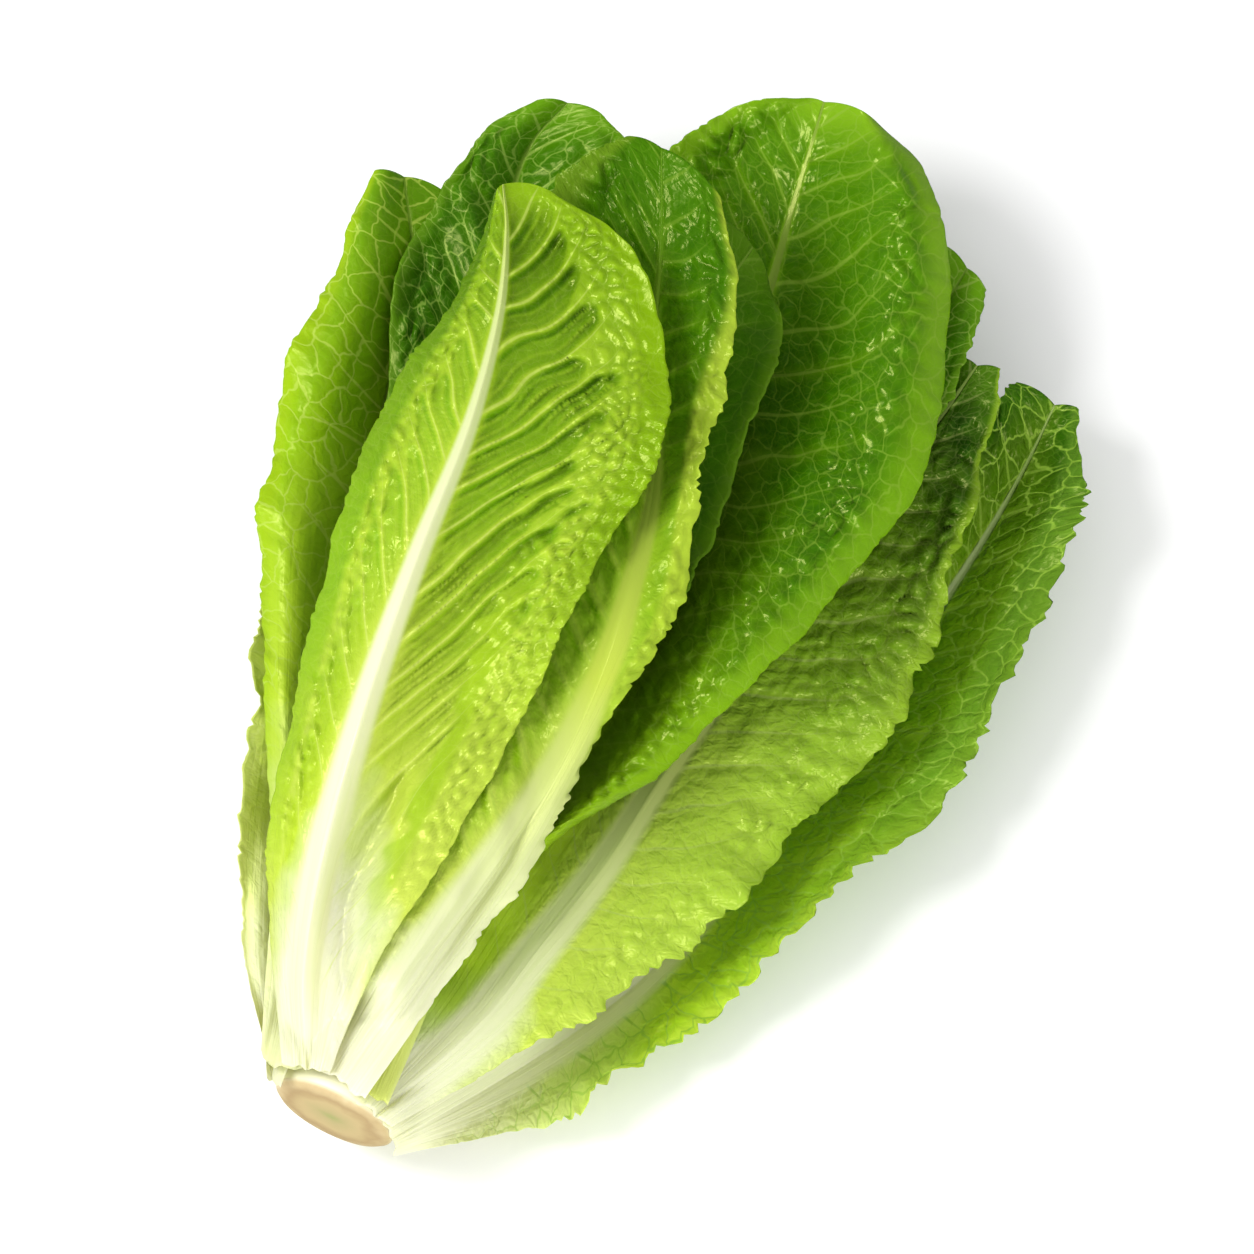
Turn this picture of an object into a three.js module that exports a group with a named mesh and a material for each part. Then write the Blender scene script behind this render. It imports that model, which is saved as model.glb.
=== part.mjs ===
// Romaine lettuce head, cut through its stem and lying on its outer leaves.
// Millimetres. +Z is up from the table, +Y runs from the cut stem to the leaf tips.
import * as THREE from "three";

// ---- Driving dimensions -------------------------------------------------------------------------
const BUTT_HEIGHT = 31; // height of the stem's middle above the table
const BLADE = 1.2; // thickness of a leaf blade, measured along the line of sight
const GAP = 0.6; // air kept between a leaf and the one it lies on
const ROWS = 18; // facets from the foot of a leaf to its tip
const CELL = 1; // spacing of the points at which leaves are set on each other
const REACH = 380; // side of the square that the head is laid out on

// The leaves are drawn on a sheet that is turned and tipped the way one looks down on the head.
// A point is [across, along, z]: across and along on the sheet, z its height above the table.
const TURN = THREE.MathUtils.degToRad(25); // the sheet's turn about Z
const TILT = THREE.MathUtils.degToRad(68); // how steeply one looks down on it
const LEAN = THREE.MathUtils.degToRad(26); // lean of the head's axis on the sheet

const right = new THREE.Vector3(Math.cos(TURN), Math.sin(TURN), 0);
const sight = new THREE.Vector3(
  Math.sin(TURN) * Math.cos(TILT),
  -Math.cos(TURN) * Math.cos(TILT),
  Math.sin(TILT),
);
const up = new THREE.Vector3().crossVectors(sight, right);

// A drawn point as sheet right, sheet up and height towards the eye.
function sheet([across, along, z]) {
  const u = across * Math.cos(LEAN) + along * Math.sin(LEAN);
  const v = along * Math.cos(LEAN) - across * Math.sin(LEAN);
  return new THREE.Vector3(u, v, (z - BUTT_HEIGHT - v * up.z) / sight.z);
}

// The same point in the part's own frame.
function space(p) {
  return new THREE.Vector3(0, 0, BUTT_HEIGHT)
    .addScaledVector(right, p.x)
    .addScaledVector(up, p.y)
    .addScaledVector(sight, p.z);
}

// ---- Laying one leaf on the others --------------------------------------------------------------
// The pile is empty at first and rises with each piece that is laid on it.
const side = Math.round(REACH / CELL);
const pile = new Float32Array(side * side).fill(-REACH);

function cellAt(u, v) {
  const i = Math.round((u + REACH * 0.3) / CELL);
  const j = Math.round((v + REACH * 0.12) / CELL);
  return j * side + i;
}

// Every pile point inside a facet, with the facet's height there.
function eachCell(a, b, c, visit) {
  const area = (b.x - a.x) * (c.y - a.y) - (c.x - a.x) * (b.y - a.y);
  [a, b, c].forEach((p) => visit(cellAt(p.x, p.y), p.z));
  if (Math.abs(area) < 1e-6) return;
  const iLow = Math.ceil((Math.min(a.x, b.x, c.x) + REACH * 0.3) / CELL);
  const iHigh = Math.floor((Math.max(a.x, b.x, c.x) + REACH * 0.3) / CELL);
  const jLow = Math.ceil((Math.min(a.y, b.y, c.y) + REACH * 0.12) / CELL);
  const jHigh = Math.floor((Math.max(a.y, b.y, c.y) + REACH * 0.12) / CELL);
  for (let j = jLow; j <= jHigh; j++) {
    for (let i = iLow; i <= iHigh; i++) {
      const x = i * CELL - REACH * 0.3;
      const y = j * CELL - REACH * 0.12;
      const q = ((x - a.x) * (c.y - a.y) - (c.x - a.x) * (y - a.y)) / area;
      const r = ((b.x - a.x) * (y - a.y) - (x - a.x) * (b.y - a.y)) / area;
      if (q < 0 || r < 0 || q + r > 1) continue;
      visit(j * side + i, a.z + q * (b.z - a.z) + r * (c.z - a.z));
    }
  }
}

function raisePile(points, faces) {
  for (const [a, b, c] of faces) {
    eachCell(points[a], points[b], points[c], (cell, h) => {
      if (h > pile[cell]) pile[cell] = h;
    });
  }
}

// ---- One leaf -----------------------------------------------------------------------------------
const smooth = THREE.MathUtils.smoothstep;

// rows: left margin, rib and right margin from foot to tip. rib: depth and width at the foot.
// ribUp: the leaf's back, with its rib, faces the eye. belly: where each half of the blade bends
// most, at the foot and at the tip, and its rise there. wave: height and number of margin waves.
function leaf({ name, color, rows, rib, ribUp = false, belly, wave, teeth = 0.8 }) {
  const rails = [0, 1, 2].map(
    (k) => new THREE.CatmullRomCurve3(rows.map((row) => sheet(row[k])), false, "catmullrom", 0.5),
  );
  const front = [];
  const back = [];
  let columns = 0;
  for (let i = 0; i <= ROWS; i++) {
    const t = i / ROWS;
    const [left, middle, rightEdge] = rails.map((rail) => rail.getPoint(t));
    const grown = smooth(t, 0, 0.25) * (1 - 0.6 * smooth(t, 0.8, 1));
    const depth = rib[0] * (1 - t) ** 1.1 * (0.35 + 0.65 * smooth(t, 0, 0.12)) + 0.3;
    const halfRib = (rib[1] / 2) * (1 - t) ** 1.4 + 0.8;
    const row = [];
    for (const k of [0, 1]) {
      const edge = k ? rightEdge : left;
      const breadth = Math.hypot(edge.x - middle.x, edge.y - middle.y);
      const w = THREE.MathUtils.clamp(halfRib / breadth, 0.04, 0.4);
      const steps = [w / 2, w, 0.5, 0.76, 1];
      const stalk = (1 - t) ** 6;
      const thick = [1, Math.max(0.3, 0.9 * stalk), 0.8 * stalk, 0.5 * stalk, 0];
      const [atFoot, atTip, rise] = belly[k];
      const at = THREE.MathUtils.lerp(atFoot, atTip, t);
      steps.forEach((s, n) => {
        const p = middle.clone().lerp(edge, s);
        const bend = Math.sin(Math.PI * s ** (Math.log(0.5) / Math.log(at)));
        p.z += rise * grown * bend;
        p.z += wave[0] * grown * s ** 2.5 * Math.sin(2 * Math.PI * (wave[1] * t + 0.3 * k));
        if (s === 1 && i % 2 && i < ROWS) {
          p.x += ((edge.x - middle.x) / breadth) * teeth;
          p.y += ((edge.y - middle.y) / breadth) * teeth;
        }
        row.push({ p, order: k ? s : -s, extra: depth * thick[n] });
      });
    }
    row.sort((a, b) => a.order - b.order);
    columns = row.length;
    for (const { p, extra } of row) {
      const high = p.clone();
      const low = p.clone();
      high.z += BLADE / 2 + (ribUp ? extra : 0);
      low.z -= BLADE / 2 + (ribUp ? 0 : extra);
      front.push(high);
      back.push(low);
    }
  }
  const faces = [];
  for (let i = 0; i < ROWS; i++) {
    for (let j = 0; j < columns - 1; j++) {
      const a = i * columns + j;
      faces.push([a, a + 1, a + columns + 1], [a, a + columns + 1, a + columns]);
    }
  }
  const lift = new Float32Array(front.length);
  for (const face of faces) {
    let short = 0;
    eachCell(back[face[0]], back[face[1]], back[face[2]], (cell, h) => {
      const near = [cell, cell - 1, cell + 1, cell - side, cell + side];
      short = Math.max(short, ...near.map((n) => pile[n] + GAP - h));
    });
    for (const n of face) lift[n] = Math.max(lift[n], short);
  }
  for (let pass = 0; pass < 4; pass++) {
    const before = lift.slice();
    for (let n = columns; n < lift.length - columns; n++) {
      if (n % columns === 0 || n % columns === columns - 1) continue;
      const near = before[n - 1] + before[n + 1] + before[n - columns] + before[n + columns];
      lift[n] = Math.max(before[n], near / 4);
    }
  }
  lift.forEach((rise, n) => {
    // A rib that reaches the table is pressed flat there.
    const table = (-BUTT_HEIGHT - back[n].y * up.z) / sight.z;
    back[n].z = Math.max(back[n].z + rise, table);
    front[n].z = Math.max(front[n].z + rise, back[n].z + BLADE);
  });
  raisePile(front, faces);
  return closed(name, color, front, back, faces, columns);
}

// The two faces of a leaf and the strip round its margin as one closed mesh.
function closed(name, color, front, back, faces, columns) {
  const count = front.length;
  const index = [];
  for (const [a, b, c] of faces) index.push(a, b, c, count + a, count + c, count + b);
  const rim = [];
  for (let j = 0; j < columns - 1; j++) rim.push(j);
  for (let i = 0; i < ROWS; i++) rim.push((i + 1) * columns - 1);
  for (let j = columns - 1; j > 0; j--) rim.push(ROWS * columns + j);
  for (let i = ROWS; i > 0; i--) rim.push(i * columns);
  rim.forEach((a, n) => {
    const b = rim[(n + 1) % rim.length];
    index.push(count + a, count + b, b, count + a, b, a);
  });
  return mesh(name, color, [...front, ...back].map(space), index);
}

function mesh(name, color, points, index) {
  const geometry = new THREE.BufferGeometry().setFromPoints(points);
  geometry.setIndex(index);
  geometry.computeVertexNormals();
  const material = new THREE.MeshStandardMaterial({ color, roughness: 0.45, metalness: 0 });
  const made = new THREE.Mesh(geometry, material);
  made.name = name;
  return made;
}

const head = new THREE.Group();
head.name = "romaine_lettuce_head";

// ---- Leaves under the stem ----------------------------------------------------------------------

// Under leaf: the outermost leaf below, on whose flattened rib the head rests.
head.add(
  leaf({
    name: "under_leaf",
    color: 0x5f9a2c,
    rib: [5, 18],
    belly: [[0.5, 0.5, -4], [0.5, 0.5, -4]],
    wave: [2.5, 3.5],
    rows: [
      [[-8, -3, 14], [1, -5, 10], [12, -3, 15]],
      [[-20, 38, 14], [1, 36, 5], [28, 38, 18]],
      [[-31, 80, 18], [2, 80, 3.5], [42, 80, 20]],
      [[-36, 126, 19], [2, 124, 2.5], [51, 124, 22]],
      [[-38, 172, 20], [3, 166, 2], [56, 168, 23]],
      [[-35, 212, 21], [4, 204, 2], [54, 208, 23]],
      [[-26, 242, 21], [5, 232, 7], [40, 238, 23]],
      [[-8, 258, 20], [6, 254, 16], [21, 256, 21]],
    ],
  }),
);

// Under left leaf: lies on the table beside it, below the left leaves.
head.add(
  leaf({
    name: "under_left_leaf",
    color: 0x6ca52f,
    rib: [4, 14],
    belly: [[0.5, 0.5, -3], [0.5, 0.5, -2]],
    wave: [2.5, 3.5],
    rows: [
      [[-21, 1, 23], [-17, -1, 17], [-12, -2, 14]],
      [[-40, 34, 25], [-28, 36, 9], [-15, 40, 20]],
      [[-58, 72, 29], [-42, 74, 3], [-24, 82, 25]],
      [[-72, 114, 33], [-52, 114, 1.5], [-29, 124, 27]],
      [[-82, 156, 36], [-60, 152, 1.5], [-33, 166, 28]],
      [[-85, 192, 38], [-65, 188, 7], [-38, 204, 29]],
      [[-78, 220, 38], [-66, 216, 18], [-48, 226, 30]],
      [[-70, 231, 36], [-65, 231, 31], [-58, 232, 30]],
    ],
  }),
);

// ---- Stem ---------------------------------------------------------------------------------------

// Stem core: the short cone that every leaf grows from, cut square across at the foot.
const STEM = [
  [10, -2.6],
  [15.5, -2.2],
  [17.2, -1],
  [17.4, 1],
  [16.5, 5],
  [14.5, 12],
  [11.5, 22],
  [8.5, 34],
  [5, 44],
];
const STEM_SIDES = 24;
const STEM_END = 48;

function stem() {
  const points = [new THREE.Vector3(0, STEM[0][1], BUTT_HEIGHT)];
  for (const [radius, y] of STEM) {
    for (let n = 0; n < STEM_SIDES; n++) {
      const angle = (2 * Math.PI * n) / STEM_SIDES;
      const x = radius * Math.cos(angle);
      points.push(new THREE.Vector3(x, y, BUTT_HEIGHT + radius * Math.sin(angle)));
    }
  }
  points.push(new THREE.Vector3(0, STEM_END, BUTT_HEIGHT));
  const faces = [];
  const last = points.length - 1;
  for (let n = 0; n < STEM_SIDES; n++) {
    const next = (n + 1) % STEM_SIDES;
    faces.push([0, 1 + n, 1 + next]);
    for (let ring = 0; ring < STEM.length - 1; ring++) {
      const a = 1 + ring * STEM_SIDES;
      const b = a + STEM_SIDES;
      faces.push([a + n, b + n, b + next], [a + n, b + next, a + next]);
    }
    faces.push([last - STEM_SIDES + n, last, last - STEM_SIDES + next]);
  }
  const flat = points.map((p) => {
    const q = p.clone().setZ(p.z - BUTT_HEIGHT);
    return new THREE.Vector3(q.dot(right), q.dot(up), q.dot(sight));
  });
  raisePile(flat, faces);
  return mesh("stem_core", 0xd8c9a0, points, faces.flat());
}
head.add(stem());

// ---- Leaves round the stem ----------------------------------------------------------------------

// Outer right leaf: spread on the table, with its long white rib along the lower edge.
head.add(
  leaf({
    name: "outer_right_leaf",
    color: 0x4d8f2a,
    rib: [6, 17],
    belly: [[0.5, 0.5, -2], [0.55, 0.55, -2]],
    wave: [2.6, 4.5],
    teeth: 1.4,
    rows: [
      [[13.5, 4, 41], [18.5, 0.5, 32], [20.5, -3, 24]],
      [[24, 28, 28], [34, 22, 13], [43, 13, 15]],
      [[34, 58, 29], [49, 46, 5], [62, 33, 16]],
      [[44, 90, 30], [61, 72, 2.5], [80, 68, 20]],
      [[54, 122, 30], [70, 106, 2], [97, 111, 25]],
      [[62, 156, 30], [78, 140, 2], [112, 150, 28]],
      [[68, 192, 31], [85, 174, 3], [115, 184, 30]],
      [[72, 222, 31], [90, 208, 10], [110, 222, 31]],
      [[75, 246, 32], [92, 234, 17], [107, 241, 31]],
      [[80, 257, 29], [92, 256, 24], [99, 258, 28]],
    ],
  }),
);

// Outer left leaf: a pale leaf whose edge follows the left side of the head.
head.add(
  leaf({
    name: "outer_left_leaf",
    color: 0x9cc75a,
    rib: [5, 14],
    belly: [[0.5, 0.5, -1], [0.5, 0.5, -1]],
    wave: [1.8, 4.5],
    teeth: 1.0,
    rows: [
      [[-21.5, 4, 37], [-19.5, 2, 30], [-16, 0, 24]],
      [[-42, 27, 29], [-29, 27, 20], [-19, 32, 22]],
      [[-55, 52, 33], [-39, 52, 19], [-27, 58, 22]],
      [[-64, 76, 38], [-48, 78, 20], [-34, 86, 22]],
      [[-73, 100, 41], [-56, 104, 22], [-42, 114, 23]],
      [[-80, 126, 43], [-63, 132, 24], [-49, 142, 25]],
      [[-86, 154, 45], [-70, 158, 28], [-56, 168, 27]],
      [[-88, 180, 45], [-77, 182, 34], [-63, 192, 31]],
      [[-85, 196, 45], [-81, 198, 41], [-75, 200, 38]],
    ],
  }),
);

// Ruffled leaf: its crumpled right half and broad pale rib show on the right of the head.
head.add(
  leaf({
    name: "ruffled_leaf",
    color: 0x8cc63f,
    rib: [5, 18],
    belly: [[0.5, 0.5, -2], [0.5, 0.5, 2]],
    wave: [3.5, 5],
    teeth: 1.2,
    rows: [
      [[5, 6.5, 47], [11, 5.5, 45], [16, 4, 42]],
      [[8, 38, 44], [24, 36, 43], [36, 32, 35]],
      [[9, 66, 42], [30, 62, 41], [52, 56, 29]],
      [[12, 98, 38], [36, 90, 39], [68, 84, 29]],
      [[19, 130, 32], [40, 120, 36], [78, 118, 29]],
      [[24, 162, 33], [46, 152, 35], [89, 148, 30]],
      [[31, 194, 35], [52, 184, 36], [90, 178, 33]],
      [[41, 224, 37], [59, 214, 38], [85, 210, 36]],
      [[52, 246, 39], [65, 238, 40], [80, 238, 38]],
      [[62, 256, 41], [68, 256, 42], [74, 258, 41]],
    ],
  }),
);

// Behind leaf: a dark leaf that shows only its tip past the great leaf.
head.add(
  leaf({
    name: "behind_leaf",
    color: 0x3f7d2a,
    rib: [2.5, 9],
    belly: [[0.5, 0.5, -1], [0.5, 0.5, 2]],
    wave: [2, 3.5],
    rows: [
      [[2, 26, 42], [5, 25, 43], [9, 27, 42]],
      [[0, 66, 40], [5, 64, 40], [10, 68, 40]],
      [[0, 118, 34], [14, 114, 32], [28, 120, 34]],
      [[7, 168, 32], [26, 162, 29], [45, 170, 34]],
      [[18, 212, 34], [40, 206, 31], [58, 212, 38]],
      [[29, 246, 37], [48, 238, 35], [65, 242, 41]],
      [[37, 268, 41], [52, 261, 40], [64, 262, 43]],
      [[45, 282, 42], [54, 279, 42], [61, 276, 42]],
    ],
  }),
);

// Left leaf: folded along a ridge down its left half.
head.add(
  leaf({
    name: "left_leaf",
    color: 0x7fb83a,
    rib: [3.5, 12],
    belly: [[0.55, 0.55, 9], [0.5, 0.5, -2]],
    wave: [2, 4.5],
    teeth: 1.2,
    rows: [
      [[-25, 6, 37], [-20, 5, 38], [-13, 7, 42]],
      [[-44, 50, 40], [-30, 46, 36], [-18, 52, 38]],
      [[-62, 84, 46], [-44, 78, 38], [-27, 86, 37]],
      [[-78, 112, 50], [-55, 110, 38], [-35, 120, 37]],
      [[-90, 136, 52], [-63, 138, 38], [-43, 150, 38]],
      [[-99, 164, 54], [-69, 165, 38], [-50, 178, 40]],
      [[-100, 190, 56], [-75, 190, 40], [-57, 203, 42]],
      [[-103, 211, 58], [-82, 213, 46], [-66, 222, 46]],
      [[-103, 232, 58], [-95, 234, 53], [-82, 235, 50]],
    ],
  }),
);

// Back left leaf: a tall dark leaf behind the front leaf.
head.add(
  leaf({
    name: "back_left_leaf",
    color: 0x3c8427,
    rib: [3, 11],
    belly: [[0.5, 0.5, 4], [0.5, 0.5, 3]],
    wave: [2.4, 4],
    rows: [
      [[-15, 24, 42], [-10, 23, 43], [-5, 25, 42]],
      [[-30, 56, 41], [-19, 52, 40], [-8, 56, 42]],
      [[-46, 96, 42], [-29, 90, 38], [-10, 96, 43]],
      [[-60, 138, 44], [-39, 130, 37], [-14, 140, 45]],
      [[-73, 178, 46], [-49, 168, 37], [-18, 184, 47]],
      [[-85, 212, 49], [-58, 204, 39], [-24, 224, 49]],
      [[-84, 234, 51], [-65, 234, 42], [-30, 250, 50]],
      [[-82, 254, 52], [-68, 256, 46], [-40, 267, 51]],
      [[-72, 269, 53], [-64, 272, 51], [-53, 273, 51]],
    ],
  }),
);

// Great leaf: the largest, a deep trough beside its rib and a high ridge down its right half.
head.add(
  leaf({
    name: "great_leaf",
    color: 0x3f8f22,
    rib: [3.5, 12],
    belly: [[0.5, 0.5, -4], [0.68, 0.68, 17]],
    wave: [2, 4.5],
    teeth: 1.2,
    rows: [
      [[2, 11, 49], [7, 10, 49], [12, 9, 46]],
      [[-2, 50, 47], [6, 48, 46], [11, 54, 47]],
      [[-8, 88, 44], [10, 80, 41], [22, 92, 48]],
      [[-16, 126, 39], [13, 112, 33], [36, 114, 51]],
      [[-26, 165, 41], [12, 150, 31], [48, 142, 55]],
      [[-34, 205, 45], [11, 190, 31], [58, 174, 56]],
      [[-38, 240, 50], [10, 225, 32], [67, 213, 55]],
      [[-36, 265, 54], [8, 250, 36], [61, 247, 53]],
      [[-29, 282, 55], [4, 272, 43], [50, 275, 53]],
      [[-17, 295, 55], [1, 291, 49], [32, 297, 53]],
      [[-7, 301, 54], [-1, 303, 51], [15, 304, 52]],
    ],
  }),
);

// Folded leaf: stands on edge between the great leaf and the second leaf.
head.add(
  leaf({
    name: "folded_leaf",
    color: 0x44902a,
    rib: [2, 8],
    belly: [[0.5, 0.5, -1], [0.5, 0.5, -2]],
    wave: [1.6, 4],
    rows: [
      [[-5, 34, 48], [0, 33, 49], [5, 35, 48]],
      [[-11, 70, 50], [2, 66, 50], [10, 74, 52]],
      [[-18, 112, 52], [3, 106, 51], [16, 118, 55]],
      [[-25, 150, 54], [1, 142, 51], [22, 150, 58]],
      [[-30, 185, 56], [-1, 174, 52], [24, 175, 60]],
      [[-32, 214, 58], [-3, 204, 54], [21, 204, 61]],
      [[-30, 238, 59], [-4, 228, 57], [19, 228, 61]],
      [[-22, 253, 60], [-3, 244, 59], [16, 242, 61]],
      [[-11, 261, 61], [-1, 258, 61], [8, 250, 61]],
    ],
  }),
);

// Heart leaves: the small young leaves at the middle, each shorter than the one below it.
const HEART = [
  { length: 214, breadth: 29, foot: 34, z: 47, color: 0xa4d153 },
  { length: 188, breadth: 25, foot: 36, z: 50, color: 0xb0d860 },
  { length: 160, breadth: 21, foot: 38, z: 53, color: 0xbfe072 },
  { length: 130, breadth: 17, foot: 40, z: 56, color: 0xcde88a },
];

HEART.forEach(({ length, breadth, foot, z, color }, n) => {
  const rows = [0, 0.16, 0.34, 0.52, 0.7, 0.85, 0.95, 1].map((t) => {
    const along = foot + (length - foot) * t;
    const half = 4 + (breadth - 4) * Math.sin(Math.PI * Math.min(0.96, 0.04 + 0.86 * t) ** 1.1);
    const middle = -4 - 0.11 * (along - foot) - 3 * (n % 2);
    const height = z + 14 * t;
    const forward = 10 * t * (1 - t);
    return [
      [middle - half, along + forward, height - 5],
      [middle, along, height],
      [middle + half, along + forward, height - 5],
    ];
  });
  head.add(
    leaf({
      name: "heart_leaf_" + (n + 1),
      color,
      rows,
      rib: [2, 8],
      belly: [[0.5, 0.5, 1], [0.5, 0.5, 1]],
      wave: [1.2, 3.5],
      teeth: 0.6,
    }),
  );
});

// Second leaf: long and narrow beside the front leaf, with its right margin rolled in.
head.add(
  leaf({
    name: "second_leaf",
    color: 0x86c334,
    rib: [3, 22],
    ribUp: true,
    belly: [[0.5, 0.5, -2], [0.6, 0.6, 2]],
    wave: [1.6, 4.5],
    rows: [
      [[-9, 9.5, 50], [-2, 9, 51], [6, 8, 49]],
      [[-9, 38, 52], [3, 40, 56], [11.5, 42, 55]],
      [[-14, 74, 58], [9.5, 74, 62], [18.5, 79, 61]],
      [[-24, 110, 64], [13.5, 102, 69], [19.5, 107, 68]],
      [[-34, 148, 70], [13.5, 132, 75], [21, 138, 74]],
      [[-44, 184, 78], [10, 158, 79], [25, 160, 78]],
      [[-53, 218, 82], [3, 188, 76], [14, 194, 83]],
      [[-57, 244, 84], [-13, 220, 75], [9, 220, 85]],
      [[-53, 260, 85], [-24, 248, 79], [0, 245, 85]],
      [[-44, 270, 85], [-35, 271, 83], [-15, 266, 85]],
    ],
  }),
);

// Front leaf: lies over the others with its back and its long white rib up.
head.add(
  leaf({
    name: "front_leaf",
    color: 0x9fd13c,
    rib: [5, 16],
    ribUp: true,
    belly: [[0.5, 0.5, 3], [0.66, 0.3, -6]],
    wave: [1.5, 4.5],
    rows: [
      [[-18.5, 6, 44], [-12.5, 8.5, 48], [-6.5, 10.5, 51]],
      [[-36, 34, 49], [-24, 31, 59], [-6.5, 46, 60]],
      [[-50, 62, 57], [-33, 62, 69], [-2.5, 82, 67]],
      [[-60, 101, 68], [-40, 100, 82], [-1, 124, 79]],
      [[-69, 144, 75], [-45, 142, 90], [-1, 160, 87]],
      [[-72, 180, 80], [-48, 180, 94], [1, 192, 92]],
      [[-68, 205, 84], [-54, 210, 95], [-6, 215, 93]],
      [[-67, 224, 88], [-62, 231, 94], [-29, 242, 93]],
      [[-70, 240, 90], [-69, 243, 92], [-57, 247, 91]],
    ],
  }),
);

// ---- Frame: the table at z = 0 and the middle of the head over the origin ------------------------
head.updateMatrixWorld(true);
const box = new THREE.Box3().setFromObject(head, true);
const centre = box.getCenter(new THREE.Vector3());
head.position.set(-centre.x, -centre.y, -box.min.z);

export default head;
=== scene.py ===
"""Romaine lettuce head lying on its outer leaves: the fine leaves and their looks over the CAD solids."""

from math import cos, pi, radians, sin
from types import SimpleNamespace

import bmesh
import bpy
import numpy as np
from mathutils import Matrix, Vector


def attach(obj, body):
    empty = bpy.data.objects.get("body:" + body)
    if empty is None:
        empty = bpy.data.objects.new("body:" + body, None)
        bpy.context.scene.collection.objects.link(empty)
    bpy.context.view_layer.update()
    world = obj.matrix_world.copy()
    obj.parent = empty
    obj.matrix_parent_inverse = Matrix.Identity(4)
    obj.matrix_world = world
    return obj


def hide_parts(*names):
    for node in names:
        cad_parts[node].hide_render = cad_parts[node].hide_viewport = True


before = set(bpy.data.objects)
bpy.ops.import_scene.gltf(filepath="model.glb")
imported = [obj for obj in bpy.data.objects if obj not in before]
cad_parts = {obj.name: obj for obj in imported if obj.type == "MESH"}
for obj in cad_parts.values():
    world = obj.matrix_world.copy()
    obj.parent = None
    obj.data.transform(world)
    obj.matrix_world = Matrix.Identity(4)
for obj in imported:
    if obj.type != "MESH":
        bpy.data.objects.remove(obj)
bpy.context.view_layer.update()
scene = bpy.context.scene
scene.view_settings.view_transform = "Standard"

# ---- The sheet that the head is drawn on, and the camera square to it -----------------------------
# It is turned 25 degrees and tipped to 68 degrees, as one looks down on the head from its stem end.
# Points are [across, along, z] in millimetres, z above the table; the head leans 26 degrees on it.
# BUTT is the height of the stem's cut over the table, and SHIFT brings the head to the CAD part's place.
TURN = radians(25)
TILT = radians(68)
LEAN = radians(26)
BUTT = 31.0
SHIFT = np.array([-5.8, -155.6, 0.0])
RIGHT = np.array([cos(TURN), sin(TURN), 0.0])
SIGHT = np.array([sin(TURN) * cos(TILT), -cos(TURN) * cos(TILT), sin(TILT)])
UP = np.cross(SIGHT, RIGHT)


def on_sheet(p):
    """Drawn points as sheet right, sheet up and height towards the eye."""
    p = np.asarray(p, float)
    u = p[..., 0] * cos(LEAN) + p[..., 1] * sin(LEAN)
    v = p[..., 1] * cos(LEAN) - p[..., 0] * sin(LEAN)
    return np.stack([u, v, (p[..., 2] - BUTT - v * UP[2]) / SIGHT[2]], -1)


def in_space(q):
    """Sheet points as points of the part, in metres."""
    p = q[..., :1] * RIGHT + q[..., 1:2] * UP + q[..., 2:] * SIGHT
    return (p + np.array([0, 0, BUTT]) + SHIFT) * 0.001


lens = bpy.data.cameras.new("camera")
camera = bpy.data.objects.new("camera", lens)
scene.collection.objects.link(camera)
scene.camera = camera
FAR = 4.0
VIEW_WIDTH = 0.3386
SENSOR = 36
lens.sensor_width = SENSOR
lens.lens = SENSOR * FAR / VIEW_WIDTH
lens.clip_start = 0.5
lens.clip_end = 20
middle = in_space(np.array([78.0, 129.1, -35.0]))
turn = Matrix([RIGHT, UP, SIGHT]).transposed()
camera.matrix_world = Matrix.Translation(Vector(middle + SIGHT * FAR)) @ turn.to_4x4()

# ---- Floor and light ------------------------------------------------------------------------------
# A white table under a broad soft light from the upper left, with an even white room round it.
bm = bmesh.new()
bmesh.ops.create_grid(bm, x_segments=1, y_segments=1, size=3)
floor_mesh = bpy.data.meshes.new("floor")
bm.to_mesh(floor_mesh)
bm.free()
floor = bpy.data.objects.new("floor", floor_mesh)
scene.collection.objects.link(floor)
white = bpy.data.materials.new("floor")
white.use_nodes = True
shine = white.node_tree.nodes["Principled BSDF"]
shine.inputs["Base Color"].default_value = (0.93, 0.93, 0.93, 1)
shine.inputs["Roughness"].default_value = 0.9
shine.inputs["Specular IOR Level"].default_value = 0.1
floor_mesh.materials.append(white)
floor.visible_glossy = False

world = bpy.data.worlds.new("room")
world.use_nodes = True
world.node_tree.nodes["Background"].inputs["Color"].default_value = (1, 1, 1, 1)
# the wet skins mirror the lamps more than the room: its strength falls from 0.82 to 0.12 for them
path = world.node_tree.nodes.new("ShaderNodeLightPath")
dim = world.node_tree.nodes.new("ShaderNodeMath")
dim.operation = "MULTIPLY_ADD"
dim.inputs[1].default_value = -0.7
dim.inputs[2].default_value = 0.82
world.node_tree.links.new(path.outputs["Is Glossy Ray"], dim.inputs[0])
world.node_tree.links.new(dim.outputs[0], world.node_tree.nodes["Background"].inputs["Strength"])
scene.world = world


def soft_light(name, place, size, watts):
    """A round lamp at a sheet point, facing the head."""
    data = bpy.data.lights.new(name, "AREA")
    data.shape = "DISK"
    data.size = size
    data.energy = watts
    light = bpy.data.objects.new(name, data)
    scene.collection.objects.link(light)
    spot = in_space(np.array(place, float))
    aim = Vector(spot - middle).to_track_quat("Z", "Y").to_matrix().to_4x4()
    light.matrix_world = Matrix.Translation(Vector(spot)) @ aim


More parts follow.
